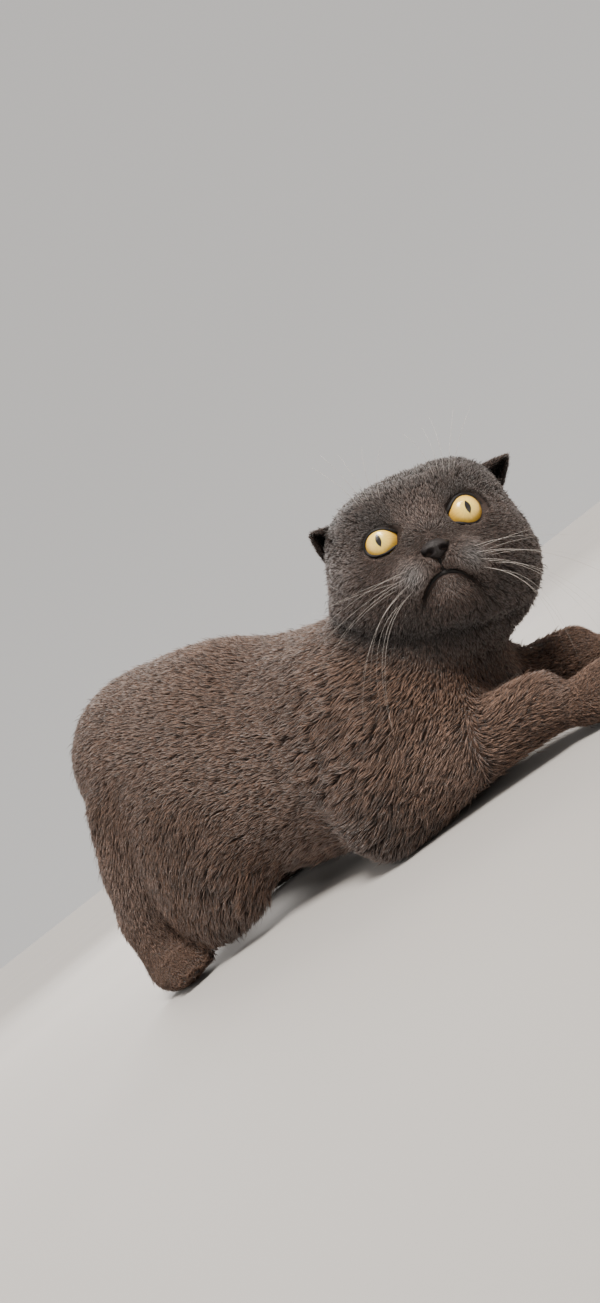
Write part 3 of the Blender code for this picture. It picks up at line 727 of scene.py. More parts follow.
def grow_tufts(roots, rng, lift, curl=0.42):
    """Tufts as closed spindles with a bend: a root, a ring of three and a tip. Returns all the vertices,
    five to a tuft, with each tuft's shade."""
    count = len(roots.place)
    length = roots.length * (0.80 + 0.40 * rng.random(count))
    width = roots.width * (0.80 + 0.45 * rng.random(count))
    stray = rng.random(count) < 0.03
    length[stray] *= 1.35
    width[stray] *= 0.7
    shade = 0.9 * rng.standard_normal(count)
    lie = roots.lie.copy()
    beside = np.cross(roots.normal, lie)
    raise_by = np.full(count, lift) + 0.12 * rng.standard_normal(count) + 0.25 * stray
    sway = 0.16 * rng.standard_normal(count)

    seeds = rng.permutation(count)[: count // TUFTS_IN_LOCK]
    lock = nearest_seed(roots.place, roots.place[seeds])
    lock_draw = rng.standard_normal((len(seeds), 3))[lock]
    strength = (0.2 + 1.6 * roots.lock)[:, None] * lock_draw
    raise_by += 0.09 * strength[:, 0]
    sway += 0.20 * strength[:, 1]
    shade += 0.60 * strength[:, 2]

    lie = unit(lie + beside * sway[:, None])
    beside = unit(np.cross(roots.normal, lie))

    def heading(angle):
        return lie * np.cos(angle)[:, None] + roots.normal * np.sin(angle)[:, None]

    half = length[:, None] * 0.5
    ring = roots.place + half * heading(raise_by)
    tip = ring + half * heading(raise_by * curl)
    gathered_tip = tip[seeds][lock]
    gathered_ring = ring[seeds][lock]
    reach = np.linalg.norm(gathered_tip - tip, axis=1)
    pull = roots.lock * np.clip(1 - reach / (2.2 * length), 0, 1)
    tip = tip + pull[:, None] * (gathered_tip - tip)
    ring = ring + 0.35 * pull[:, None] * (gathered_ring - ring)

    tilt = 0.5 * rng.standard_normal(count)
    over = unit(roots.normal * np.cos(tilt)[:, None] + beside * np.sin(tilt)[:, None])
    across = unit(np.cross(tip - roots.place, over))
    start = roots.place - roots.normal * (0.08 * length)[:, None]
    half_width = width[:, None] * 0.34
    verts = np.stack([
        start,
        ring + across * half_width,
        ring - across * half_width,
        ring + over * half_width * 0.9,
        tip,
    ], 1)
    verts[:, :, 2] = np.maximum(verts[:, :, 2], 0.0003)
    return verts, shade


TUFT_FACES = np.array([(0, 2, 1), (0, 1, 3), (0, 3, 2), (4, 1, 2), (4, 3, 1), (4, 2, 3)])
TUFT_ALONG = np.array([0.0, 0.55, 0.55, 0.60, 1.0])
TUFT_PATCH = np.array([(0.0, -0.0015), (0.0011, 0.0003), (-0.0011, 0.0003), (0.0, 0.0004), (0.0, 0.0015)])


def tuft_mesh(name, verts, shade, roots, chosen):
    """A mesh of the chosen tufts, with their tones and their map."""
    verts = verts[chosen]
    count = len(verts)
    faces = (np.arange(count)[:, None, None] * 5 + TUFT_FACES).reshape(-1, 3)
    mesh = bpy.data.meshes.new(name)
    mesh.vertices.add(count * 5)
    mesh.vertices.foreach_set("co", verts.astype(np.float32).ravel())
    mesh.loops.add(len(faces) * 3)
    mesh.loops.foreach_set("vertex_index", faces.astype(np.int32).ravel())
    mesh.polygons.add(len(faces))
    mesh.polygons.foreach_set("loop_start", np.arange(len(faces), dtype=np.int32) * 3)
    mesh.update(calc_edges=True)
    put_values(mesh, "along", np.tile(TUFT_ALONG, count))
    strand = np.tile((0.0, 0.8, -0.8, 0.0, 0.3), count)
    put_values(mesh, "shade", np.repeat(shade[chosen], 5) + strand)
    put_values(mesh, "marking_and_shade", np.repeat(roots.marking_and_shade[chosen], 5))
    put_values(mesh, "cool", np.repeat(roots.cool[chosen], 5))
    uv = np.clip(roots.uv[chosen][:, None] + TUFT_PATCH, 0.001, 0.999).reshape(-1, 2)
    layer = mesh.uv_layers.new(name=BAKE_MAP)
    layer.uv.foreach_set("vector", uv[faces.ravel()].astype(np.float32).ravel())
    mesh.shade_smooth()
    return mesh


def at_eye_of(points, name):
    """The points in the eye's frame, and how far out of the opening they are: 1 on the lids' edge."""
    side = SIDES[name]
    back = np.array(eye_frame(side).inverted())
    at_eye = points @ back[:3, :3].T + back[:3, 3]
    half_width, half_height, run, aside, rise = EYE_OPENING[name]
    across = at_eye[:, 1] - aside
    upward = (at_eye[:, 2] - rise) / half_height
    return at_eye, np.hypot(across / (half_width + (across * -side > 0) * run), upward), upward


def laid_over_eyes(points):
    """Sinks the skin in the openings of the eyes and lays it over the eyeballs round them."""
    for name, side in SIDES.items():
        at_eye, ring, upward = at_eye_of(points, name)
        far = np.linalg.norm(at_eye, axis=1)
        gap = smooth_step(1.08, 0.92, ring)
        over = np.maximum(far, EYE_RADIUS + 0.0004 + 0.0010 * np.clip(upward, 0, 1))
        target = (1 - gap) * over + gap * (EYE_RADIUS - 0.0022)
        chosen = (at_eye[:, 0] > 0.001) & (far < 0.020)
        scale = np.where(chosen, target / far, 1)
        turn = np.array(eye_frame(side))
        points = (at_eye * scale[:, None]) @ turn[:3, :3].T + turn[:3, 3]
    return points


def skin_allowed(points):
    """Where tufts may grow: not on the eyes and their lids, the nose or the lips."""
    local = in_head(points)
    allowed = np.ones(len(points))
    for name in SIDES:
        at_eye, ring, upward = at_eye_of(points, name)
        # Bare higher above the eye, where the dark lid is partly painted shadow of the brow.
        allowed[(ring < 1.08 + 0.07 * np.clip(upward, 0, 1)) & (at_eye[:, 0] > 0)] = 0
    nose = np.linalg.norm((local - np.array(NOSE_PLACE)) / (0.0090, 0.0080, 0.0052), axis=1)
    allowed[nose < 1] = 0
    ahead = local[:, 0] > 0.035
    allowed[ahead & (line_gap(local[:, 1:], mouth_line()) < 0.0013)] = 0
    allowed[ahead & (line_gap(local[:, 1:], nose_groove()) < 0.0008)] = 0
    return allowed


def eye_frame(side):
    place = Vector((EYE_PLACE.x, side * EYE_PLACE.y, EYE_PLACE.z))
    return HEAD @ Matrix.Translation(place) @ Matrix.Rotation(side * EYE_TURN_OUT, 4, "Z")


def node_group(name, inputs, outputs):
    """An empty shader group with named sockets, and its input and output nodes."""
    group = bpy.data.node_groups.new(name, "ShaderNodeTree")
    for label, kind, value in inputs:
        socket = group.interface.new_socket(name=label, in_out="INPUT", socket_type=kind)
        socket.default_value = value
    for label, kind in outputs:
        group.interface.new_socket(name=label, in_out="OUTPUT", socket_type=kind)
    return group, group.nodes.new("NodeGroupInput"), group.nodes.new("NodeGroupOutput")


class Wiring:
    """Adds nodes to a tree and links them in one go."""

    def __init__(self, tree):
        self.tree = tree

    def node(self, kind, inputs=None, **settings):
        made = self.tree.nodes.new(kind)
        for key, value in settings.items():
            setattr(made, key, value)
        for key, value in (inputs or {}).items():
            if isinstance(value, bpy.types.NodeSocket):
                self.tree.links.new(value, made.inputs[key])
            else:
                made.inputs[key].default_value = value
        return made

    def link(self, start, end):
        self.tree.links.new(start, end)

    def sum(self, operation, a, b=0.0, c=0.0):
        return self.node("ShaderNodeMath", {0: a, 1: b, 2: c}, operation=operation).outputs[0]

    def attribute(self, name):
        return self.node("ShaderNodeAttribute", attribute_name=name).outputs["Fac"]

    def ramp(self, value, stops):
        made = self.node("ShaderNodeValToRGB", {"Fac": value})
        for i, (place, colour) in enumerate(stops):
            element = made.color_ramp.elements[i] if i < 2 else made.color_ramp.elements.new(place)
            element.position = place
            element.color = (*colour, 1)
        return made.outputs["Color"]

    def bumps(self, shader, height, strength, distance):
        made = self.node("ShaderNodeBump", {"Height": height, "Strength": strength, "Distance": distance})
        self.link(made.outputs["Normal"], shader.inputs["Normal"])

    def placed_noise(self, scale, detail=2.0, stretch=(1, 1, 1)):
        where = self.node("ShaderNodeTexCoord").outputs["Object"]
        mapped = self.node("ShaderNodeMapping", {"Vector": where, "Scale": stretch}).outputs["Vector"]
        return self.node("ShaderNodeTexNoise", {"Vector": mapped, "Scale": scale, "Detail": detail})


def coat_colour_group(looks):
    """The colour of a hair from its root, darkened partly with painted shade deep in the coat, to its tip,
    with its tuft's shade and the markings and painted shade there.
    """
    group, given, out = node_group("coat_colour", [
        ("Along", "NodeSocketFloat", 0.5),
        ("Shade", "NodeSocketFloat", 0.0),
        ("Marking and shade", "NodeSocketFloat", 0.0),
        ("Cool", "NodeSocketFloat", 0.0),
    ], [("Color", "NodeSocketColor")])
    wire = Wiring(group)
    # Dark towards the root: partly the hair's own tone, partly painted shade deep in the coat.
    warm = wire.ramp(given.outputs["Along"], [
        (0.0, looks.root_colour_with_painted_shade), (1.0, looks.tip_colour), (0.55, looks.middle_colour)])
    cool = wire.ramp(given.outputs["Along"], [
        (0.0, looks.root_colour_with_painted_shade), (1.0, looks.head_tip_colour), (0.55, looks.head_middle_colour)])
    base = wire.node("ShaderNodeMix", {"Factor": given.outputs["Cool"]}, data_type="RGBA")
    wire.link(warm, base.inputs[6])
    wire.link(cool, base.inputs[7])
    patches = wire.placed_noise(looks.patch_scale, 3.0).outputs["Fac"]
    patchy = wire.sum("MULTIPLY_ADD", patches, 0.50, 0.75)
    shade = wire.sum("MULTIPLY_ADD", given.outputs["Shade"], 0.32, 1.0)
    marked_and_shaded = wire.sum("ADD", given.outputs["Marking and shade"], 1.0)
    bright = wire.sum("MULTIPLY", wire.sum("MULTIPLY", patchy, shade), marked_and_shaded)
    bright = wire.sum("MAXIMUM", bright, 0.12)
    lit = wire.node("ShaderNodeVectorMath", {0: base.outputs[2], "Scale": bright}, operation="SCALE")
    terms = {0: given.outputs["Marking and shade"], 1: -0.35, 2: 1.0}
    fullness = wire.node("ShaderNodeMath", terms, operation="MULTIPLY_ADD", use_clamp=True).outputs[0]
    toned = wire.node("ShaderNodeHueSaturation", {"Saturation": fullness, "Color": lit.outputs[0]})
    wire.link(toned.outputs["Color"], out.inputs["Color"])
    return group


def scaled(colour, factor):
    return tuple(factor * part for part in colour)


def new_material(name, roughness):
    """A material with its wiring and its shader."""
    made = bpy.data.materials.new(name)
    made.use_nodes = True
    wire = Wiring(made.node_tree)
    shader = made.node_tree.nodes["Principled BSDF"]
    shader.inputs["Roughness"].default_value = roughness
    return made, wire, shader


def coat_tone(wire, group, shader, given):
    """Colours the shader with the coat's group, from the attributes of the mesh and the given inputs."""
    tone = wire.node("ShaderNodeGroup", given, node_tree=group)
    for socket, name in (("Marking and shade", "marking_and_shade"), ("Cool", "cool")):
        wire.link(wire.attribute(name), tone.inputs[socket])
    wire.link(tone.outputs["Color"], shader.inputs["Base Color"])


def coat_material(group):
    made, wire, shader = new_material("short_fur", 0.62)
    shader.inputs["Specular IOR Level"].default_value = 0.35
    shader.inputs["Sheen Weight"].default_value = 0.16
    shader.inputs["Sheen Roughness"].default_value = 0.4
    strands = wire.placed_noise(1500, 1.0).outputs["Fac"]
    shade = wire.sum("ADD", wire.attribute("shade"), wire.sum("MULTIPLY_ADD", strands, 3.6, -1.8))
    coat_tone(wire, group, shader, {"Shade": shade, "Along": wire.attribute("along")})
    return made


def skin_material(group):
    made, wire, shader = new_material("undercoat", 0.75)
    shader.inputs["Specular IOR Level"].default_value = 0.25
    strands = wire.placed_noise(900, 3.0)
    shade = wire.sum("MULTIPLY_ADD", strands.outputs["Fac"], 3.0, -1.5)
    # At 0.38 along, the skin takes the coat's dark lower colour, partly painted shade between the tufts.
    coat_tone(wire, group, shader, {"Shade": shade, "Along": 0.38})
    wire.bumps(shader, strands.outputs["Fac"], 0.8, 0.0006)
    return made


def leather_grain_group():
    """The fine pebbled surface of bare dark skin, as a height."""
    group, given, out = node_group("leather_grain", [("Scale", "NodeSocketFloat", 1800.0)],
                                   [("Height", "NodeSocketFloat")])
    wire = Wiring(group)
    where = wire.node("ShaderNodeTexCoord").outputs["Object"]
    cells = wire.node("ShaderNodeTexVoronoi", {"Vector": where, "Scale": given.outputs["Scale"]})
    fine = wire.node("ShaderNodeTexNoise", {"Vector": where, "Scale": given.outputs["Scale"]})
    height = wire.sum("MULTIPLY_ADD", fine.outputs["Fac"], 0.4, cells.outputs["Distance"])
    wire.link(height, out.inputs["Height"])
    return group


def bare_skin_material(name, colour, roughness, grain, distance):
    made, wire, shader = new_material(name, roughness)
    shader.inputs["Specular IOR Level"].default_value = 0.3
    noise = wire.placed_noise(320, 3.0).outputs["Fac"]
    tone = wire.ramp(noise, [(0.3, scaled(colour, 0.65)), (0.7, scaled(colour, 1.35))])
    wire.link(tone, shader.inputs["Base Color"])
    height = wire.node("ShaderNodeGroup", {"Scale": 1800.0}, node_tree=grain).outputs["Height"]
    wire.bumps(shader, height, 0.6, distance)
    return made


EYE_MAP_SPAN = 0.05


def eye_material(looks):
    """The iris with its fibres, its dark rim, its slit pupil, a painted reflection that makes its upper part
    paler and the grey inner lid in the corner, drawn on the map along the eye's axis, whose first coordinate
    runs towards the nose."""
    made, wire, shader = new_material("golden_eye", 0.18)
    shader.inputs["Coat Weight"].default_value = 0.6
    shader.inputs["Coat Roughness"].default_value = 0.02
    shader.inputs["Coat IOR"].default_value = 1.45
    where = wire.node("ShaderNodeUVMap", uv_map="axis_map").outputs["UV"]
    parts = wire.node("ShaderNodeSeparateXYZ", {"Vector": where})
    across = wire.sum("MULTIPLY", wire.sum("SUBTRACT", parts.outputs["X"], 0.5), EYE_MAP_SPAN)
    upward = wire.sum("MULTIPLY", wire.sum("SUBTRACT", parts.outputs["Y"], 0.5), EYE_MAP_SPAN)
    across_squared = wire.sum("MULTIPLY", across, across)
    radius = wire.sum("SQRT", wire.sum("MULTIPLY_ADD", upward, upward, across_squared))
    angle = wire.sum("ARCTAN2", upward, across)
    spoke = wire.node("ShaderNodeCombineXYZ", {
        0: wire.sum("MULTIPLY", wire.sum("COSINE", angle), 14.0),
        1: wire.sum("MULTIPLY", wire.sum("SINE", angle), 14.0),
        2: wire.sum("MULTIPLY", radius, 260.0),
    })
    fibres = wire.node("ShaderNodeTexNoise", {"Vector": spoke.outputs[0], "Scale": 1.6, "Detail": 5.0})
    wobble = wire.sum("MULTIPLY_ADD", fibres.outputs["Fac"], 0.0012, -0.0006)
    share = wire.sum("DIVIDE", wire.sum("ADD", radius, wobble), looks.iris_radius)
    iris = wire.ramp(share, [(0.0, looks.iris_inner), (1.0, looks.iris_outer), (0.55, looks.iris_colour)])
    streak = wire.sum("MULTIPLY_ADD", fibres.outputs["Fac"], 0.9, 0.55)
    # Paler towards the top of the iris, darker towards the bottom: a painted reflection on its upper part.
    lower = wire.sum("MULTIPLY_ADD", upward, 9.0, 0.96)
    bright = wire.sum("MULTIPLY", streak, wire.sum("MAXIMUM", lower, 0.6))
    streaked = wire.node("ShaderNodeVectorMath", {0: iris, "Scale": bright}, operation="SCALE")
    rim = wire.node("ShaderNodeMapRange", {"Value": share, "From Min": 0.95, "From Max": 1.03})
    tall = wire.sum("DIVIDE", upward, looks.pupil_height / 2)
    narrowing = wire.sum("SUBTRACT", 1.0, wire.sum("MULTIPLY", tall, tall))
    almond = wire.sum("MULTIPLY", narrowing, looks.pupil_width / 2)
    inside = wire.sum("SUBTRACT", almond, wire.sum("ABSOLUTE", across))
    pupil = wire.node("ShaderNodeMapRange", {"Value": inside, "From Min": -0.00015, "From Max": 0.00015})
    dark = wire.sum("MAXIMUM", rim.outputs[0], pupil.outputs[0])
    mixed = wire.node("ShaderNodeMix", {"Factor": dark}, data_type="RGBA")
    wire.link(streaked.outputs[0], mixed.inputs[6])
    corner = wire.node("ShaderNodeMapRange", {"Value": across, "From Min": 0.0102, "From Max": 0.0107})
    haw = wire.node("ShaderNodeMix", {"Factor": corner.outputs[0]}, data_type="RGBA")
    haw.inputs[6].default_value = (0.006, 0.004, 0.003, 1)
    haw.inputs[7].default_value = (0.10, 0.088, 0.080, 1)
    wire.link(haw.outputs[2], mixed.inputs[7])
    wire.link(mixed.outputs[2], shader.inputs["Base Color"])
    wire.bumps(shader, fibres.outputs["Fac"], 0.25, 0.0004)
    return made


def make_eye(name):
    """An eyeball with its cornea, shaped from a ball whose pole lies on the eye's axis."""
    side = SIDES[name]
    ball = bpy.ops.mesh.primitive_uv_sphere_add
    eye = primitive(f"eyeball_{name}", ball, segments=64, ring_count=48, radius=EYE_RADIUS)
    mesh = eye.data
    points = points_of(mesh)
    ahead = points[:, 2] / EYE_RADIUS
    bulge = 0.0011 * smooth_step(0.60, 0.98, ahead)
    points = points * (1 + bulge / EYE_RADIUS)[:, None]
    points = np.stack([points[:, 2], points[:, 0], points[:, 1]], 1)
    uv = mesh.uv_layers.active or mesh.uv_layers.new()
    uv.name = "axis_map"
    corner = np.empty(len(mesh.loops), np.int32)
    mesh.loops.foreach_get("vertex_index", corner)
    flat = points[:, 1:] * (-side, 1) / EYE_MAP_SPAN + 0.5
    uv.uv.foreach_set("vector", flat[corner].astype(np.float32).ravel())
    set_points(mesh, points)
    mesh.transform(eye_frame(side))
    mesh.shade_smooth()
    return eye


LID_STEPS = 96


def lid_outline(name, scale):
    """Places round the opening of the lids across the eye's axis, pointed towards the nose."""
    half_width, half_height, run, aside, rise = EYE_OPENING[name]
    angle = np.arange(LID_STEPS) * 2 * math.pi / LID_STEPS
    y = np.cos(angle)
    z = np.sin(angle)
    inward = np.maximum(-SIDES[name] * y, 0)
    across = y * (half_width + run * inward**6)
    upward = z * half_height - 0.5 * run * inward**5
    # Wider above the eye, where the dark lid also stands as painted shadow of the brow.
    thick = 1 + (scale - 1) * (1 + 0.7 * np.maximum(z, 0))
    return np.stack([aside + across * scale, rise + upward * thick], 1)


# The lid in section: how far out of the opening, and how far off the ball. Past BALL_EDGE off the eye's
# axis the ball is too steep to follow.
LID_PROFILE = ((0.95, -0.0008), (0.965, 0.0003), (1.00, 0.0009), (1.06, 0.0011), (1.15, 0.0006),
               (1.25, -0.0006), (1.22, -0.0022), (1.00, -0.0030))
BALL_EDGE = 0.0118


def make_lids(name):
    """A closed dark rim round the eye: it rises from the ball and runs out under the fur. Above the eye it
    runs wider, dark lid skin that is partly painted shadow of the brow.
    """
    torus = bpy.ops.mesh.primitive_torus_add
    lids = primitive(f"lids_{name}", torus, major_segments=LID_STEPS, minor_segments=len(LID_PROFILE))
    rings = []
    for scale, height in LID_PROFILE:
        outline = lid_outline(name, scale)
        away = np.linalg.norm(outline, axis=1)
        ball = np.sqrt(np.maximum(EYE_RADIUS**2 - np.minimum(away, BALL_EDGE) ** 2, 0))
        beyond = np.maximum(away - BALL_EDGE, 0)
        hood = 1 + 0.5 * (outline[:, 1] > 0) * (height > 0)
        x = ball * (1 + height * hood / EYE_RADIUS) + height * 0.4 - 0.45 * beyond
        rings.append(np.column_stack([x, outline * (1 + height / EYE_RADIUS)]))
    set_points(lids.data, np.stack(rings, 1).reshape(-1, 3))
    in_edit_mode(lids, lambda: bpy.ops.mesh.normals_make_consistent(inside=False))
    lids.data.transform(eye_frame(SIDES[name]))
    lids.data.shade_smooth()
    return lids


NOSE_HALF_SIZE = (0.0050, 0.0086, 0.0056)
NOSTRIL_PLACE = (0.0038, -0.0014)
NOSTRIL_SIZE = (0.0021, 0.0015)
NOSTRIL_SLIT = np.array([(0.0038, -0.0014), (0.0062, -0.0016), (0.0080, 0.0006)])


def make_nose():
    """The nose leather: broad above, narrow below, with comma nostrils and a groove down the middle."""
    ball = bpy.ops.mesh.primitive_uv_sphere_add
    nose = primitive("nose_leather", ball, segments=96, ring_count=64, radius=1)
    points = points_of(nose.data)[:, [2, 0, 1]]
    low = smooth_step(0.25, -0.95, points[:, 2])
    points[:, 1] *= 1 - 0.42 * low
    points *= NOSE_HALF_SIZE
    points[:, 0] -= 0.16 * np.abs(points[:, 1])
    front = points[:, 0] > 0
    for side in SIDES.values():
        hole = (points[:, 1:] * (side, 1) - NOSTRIL_PLACE) / NOSTRIL_SIZE
        hole = np.exp(-((hole**2).sum(1)) ** 1.5)
        slit = np.exp(-((line_gap(points[:, 1:], side * NOSTRIL_SLIT * (1, side)) / 0.0008) ** 2))
        points[:, 0] -= (0.0040 * hole + 0.0014 * slit) * front
    groove = np.exp(-((points[:, 1] / 0.0007) ** 2)) * smooth_step(0.003, -0.002, points[:, 2])
    points[:, 0] -= 0.0008 * groove * front
    set_points(nose.data, points)
    nose.data.transform(HEAD @ Matrix.Translation(NOSE_PLACE + Vector((0.0004, 0, -0.0002))))
    nose.data.shade_smooth()
    return nose


def tube_mesh(lines, sides=8):
    """Closed round strands, each along its own line of places with a radius at every place."""
    bm = bmesh.new()
    for places, radii in lines:
        places = [Vector(place) for place in places]
        across = Vector((0.31, 0.22, 0.92))
        rings = []
        for i, (place, radius) in enumerate(zip(places, radii)):
            ahead = (places[min(i + 1, len(places) - 1)] - places[max(i - 1, 0)]).normalized()
            across = (across - across.dot(ahead) * ahead).normalized()
            beside = ahead.cross(across)
            rings.append([
                bm.verts.new(place + float(radius) * (math.cos(turn) * across + math.sin(turn) * beside))
                for turn in (2 * math.pi * step / sides for step in range(sides))
            ])
        for ring, following in zip(rings, rings[1:]):
            for i in range(sides):
                j = (i + 1) % sides
                bm.faces.new((ring[i], ring[j], following[j], following[i]))
        bm.faces.new(list(reversed(rings[0])))
        bm.faces.new(rings[-1])
    mesh = bpy.data.meshes.new("strands")
    bm.to_mesh(mesh)
    bm.free()
    mesh.shade_smooth()
    return mesh


def bent(start, control, end):
    """Places along a curve from start to end, drawn towards the control point on the way."""
    return [
        (1 - t) ** 2 * start + 2 * t * (1 - t) * control + t**2 * end
        for t in np.linspace(0, 1, HAIR_STEPS).tolist()
    ]


WHISKER_LENGTHS = (0.056, 0.088)
HAIR_STEPS = 14
WHISKER_RADII = np.linspace(0.00008, 0.00002, HAIR_STEPS)
BROW_HAIR_RADII = np.linspace(0.00013, 0.00004, HAIR_STEPS)
HAIR_IN_SKIN = Vector((0.002, 0, 0))


def make_whiskers(tree, rng):
    """Long pale whiskers in rows on each pad, sweeping out and down, and a fan of hairs over each eye."""
    lines = []
    for side, row, column, y, z in whisker_roots():
        root = FROM_HEAD @ on_face(tree, y, z)[0]
        reach = rng.uniform(*WHISKER_LENGTHS)
        fall = 0.08 + 0.30 * row + rng.uniform(-0.12, 0.12)
        away = Vector((-0.10 - 0.12 * rng.random(), side * (0.95 - 0.45 * fall), -fall)).normalized()
        end = root + reach * away
        control = root + Vector((0.012, side * 0.40 * reach, -0.20 * fall * reach))
        lines.append((bent(root - HAIR_IN_SKIN, control, end), WHISKER_RADII * (1 - 0.08 * column)))
    for side in SIDES.values():
        for hair in range(5):
            root = FROM_HEAD @ on_face(tree, side * (0.017 + 0.0030 * hair), 0.0300 + 0.0006 * hair)[0]
            end = root + Vector((
                0.010 * rng.random(),
                side * (-0.010 + 0.008 * hair) + rng.uniform(-0.003, 0.003),
                0.040 - 0.003 * abs(hair - 2) + rng.uniform(-0.005, 0.003),
            ))
            control = root + Vector((0.014, side * 0.002 * hair, 0.016))
            lines.append((bent(root - HAIR_IN_SKIN, control, end), BROW_HAIR_RADII))
    mesh = tube_mesh([([HEAD @ place for place in places], radii) for places, radii in lines], 6)
    return object_named("whiskers", mesh)


def make_lips(tree):
    """The dark edge of the lips and the groove that joins it to the nose."""
    lips = laid_on(tree, mouth_line())
    groove = laid_on(tree, nose_groove())
    swell = np.sin(np.linspace(0, math.pi, len(lips)))
    lines = [(lips, 0.0003 + 0.0015 * swell**2), (groove, np.full(len(groove), 0.0010))]
    return object_named("lips", tube_mesh(lines, 12))


# The middle of each ear's base and its tip, in the head's frame.
EAR_BASE = {-1: (-0.024, -0.0440, 0.0270), 1: (-0.024, 0.0480, 0.0310)}
EAR_TIP = {-1: (0.012, -0.0620, 0.0345), 1: (0.010, 0.0668, 0.0380)}


def make_ears():
    """Both folded ears, thin and darkened inside with painted shade in the hollow, with the lie of their fur
    running to the tip.
    """
    ears = copies_joined(EARS, "ears")
    in_edit_mode(ears, lambda: bpy.ops.mesh.subdivide(number_cuts=3, smoothness=0.0))
    applied(ears, "SMOOTH", factor=0.5, iterations=3)
    mesh = ears.data
    points = points_of(mesh)
    normals = normals_of(mesh)
    local = in_head(points)
    left = (local[:, 1] > 0)[:, None]
    tip = np.where(left, EAR_TIP[1], EAR_TIP[-1])
    base = np.where(left, EAR_BASE[1], EAR_BASE[-1])
    axis = unit(tip - base)
    away = local - base - ((local - base) * axis).sum(1)[:, None] * axis
    outer = (out_of_head(away) * normals).sum(1) > 0
    drop = np.minimum(away[:, 2], 0)[:, None] * np.array((0, 0, -0.45))
    points = points + out_of_head(drop)
    set_points(mesh, points)
    out = ((local - base) * axis).sum(1) / np.linalg.norm(tip - base, axis=1)
    lie = out_of_head(axis)
    put_values(mesh, "lie", unit(lie - (lie * normals).sum(1)[:, None] * normals + 1e-6))
    for name, values in {
        "length": np.where(outer, 0.0050, 0.0034),
        "width": np.full(len(points), 0.00045),
        "lock": np.full(len(points), 0.05),
        # Inside, darker towards the tip: painted shade in the ear's hollow.
        "marking_and_shade": np.where(outer, -0.10, -0.25 - 0.60 * np.clip(out, 0, 1)),
        "cool": np.ones(len(points)),
        "furred": np.where(outer, 1, np.clip(0.9 - 0.8 * out, 0.1, 1)),
    }.items():
        put_values(mesh, name, values)
    mesh.shade_smooth()
    unwrap(ears)
    return ears


# What one operator leaves for the next: the surfaces that carry the coat, and the materials.
SHARED = {}


def looks_of(context):
    return context.scene.cat_looks


class CatLooks(bpy.types.PropertyGroup):
    """The colours and sizes that someone would change."""

    # The near-black root is partly the hair's own tone, partly painted shade deep in the coat.
    root_colour_with_painted_shade: bpy.props.FloatVectorProperty(
        name="Coat roots and painted shade", description="Colour of a hair at its root",
        subtype="COLOR", default=(0.012, 0.0075, 0.006))
    middle_colour: bpy.props.FloatVectorProperty(
        name="Coat", description="Colour of a hair half way up",
        subtype="COLOR", default=(0.067, 0.0375, 0.0255))
    tip_colour: bpy.props.FloatVectorProperty(
        name="Coat tips", description="Colour of a hair at its tip",
        subtype="COLOR", default=(0.183, 0.108, 0.074))
    head_middle_colour: bpy.props.FloatVectorProperty(
        name="Head coat", description="Colour of the head's hair half way up",
        subtype="COLOR", default=(0.036, 0.0235, 0.019))
    head_tip_colour: bpy.props.FloatVectorProperty(
        name="Head coat tips", description="Colour of the head's hair at its tip",
        subtype="COLOR", default=(0.126, 0.082, 0.065))
    leather_colour: bpy.props.FloatVectorProperty(
        name="Nose leather", description="Colour of the nose, lips and lids",
        subtype="COLOR", default=(0.014, 0.011, 0.011))
    whisker_colour: bpy.props.FloatVectorProperty(
        name="Whiskers", description="Colour of the whiskers", subtype="COLOR", default=(0.50, 0.46, 0.42))
    iris_colour: bpy.props.FloatVectorProperty(
        name="Iris", description="Colour of the iris half way out",
        subtype="COLOR", default=(0.90, 0.60, 0.10))
    iris_inner: bpy.props.FloatVectorProperty(
        name="Iris by the pupil", description="Colour of the iris by the pupil",
        subtype="COLOR", default=(0.86, 0.68, 0.17))
    iris_outer: bpy.props.FloatVectorProperty(
        name="Iris rim", description="Colour of the iris at its rim",
        subtype="COLOR", default=(0.62, 0.34, 0.045))
    iris_radius: bpy.props.FloatProperty(
        name="Iris radius", description="Half the width of the iris", subtype="DISTANCE", default=0.0101)
    pupil_width: bpy.props.FloatProperty(
        name="Pupil width", description="Widest part of the slit pupil", subtype="DISTANCE", default=0.0034)
    pupil_height: bpy.props.FloatProperty(
        name="Pupil height", description="Height of the slit pupil", subtype="DISTANCE", default=0.0084)
    patch_scale: bpy.props.FloatProperty(
        name="Patch scale", description="How fine the soft patches of the coat are", default=38.0)
    tuft_count: bpy.props.IntProperty(
        name="Tufts", description="Number of tufts on the skin", default=232000)
    ear_tuft_count: bpy.props.IntProperty(
        name="Ear tufts", description="Number of tufts on the ears", default=7000)
    lift: bpy.props.FloatProperty(
        name="Lift", description="How far the tufts stand off the skin",
        subtype="ANGLE", default=math.radians(36))
    seed: bpy.props.IntProperty(name="Seed", description="Seed of every random draw", default=11)


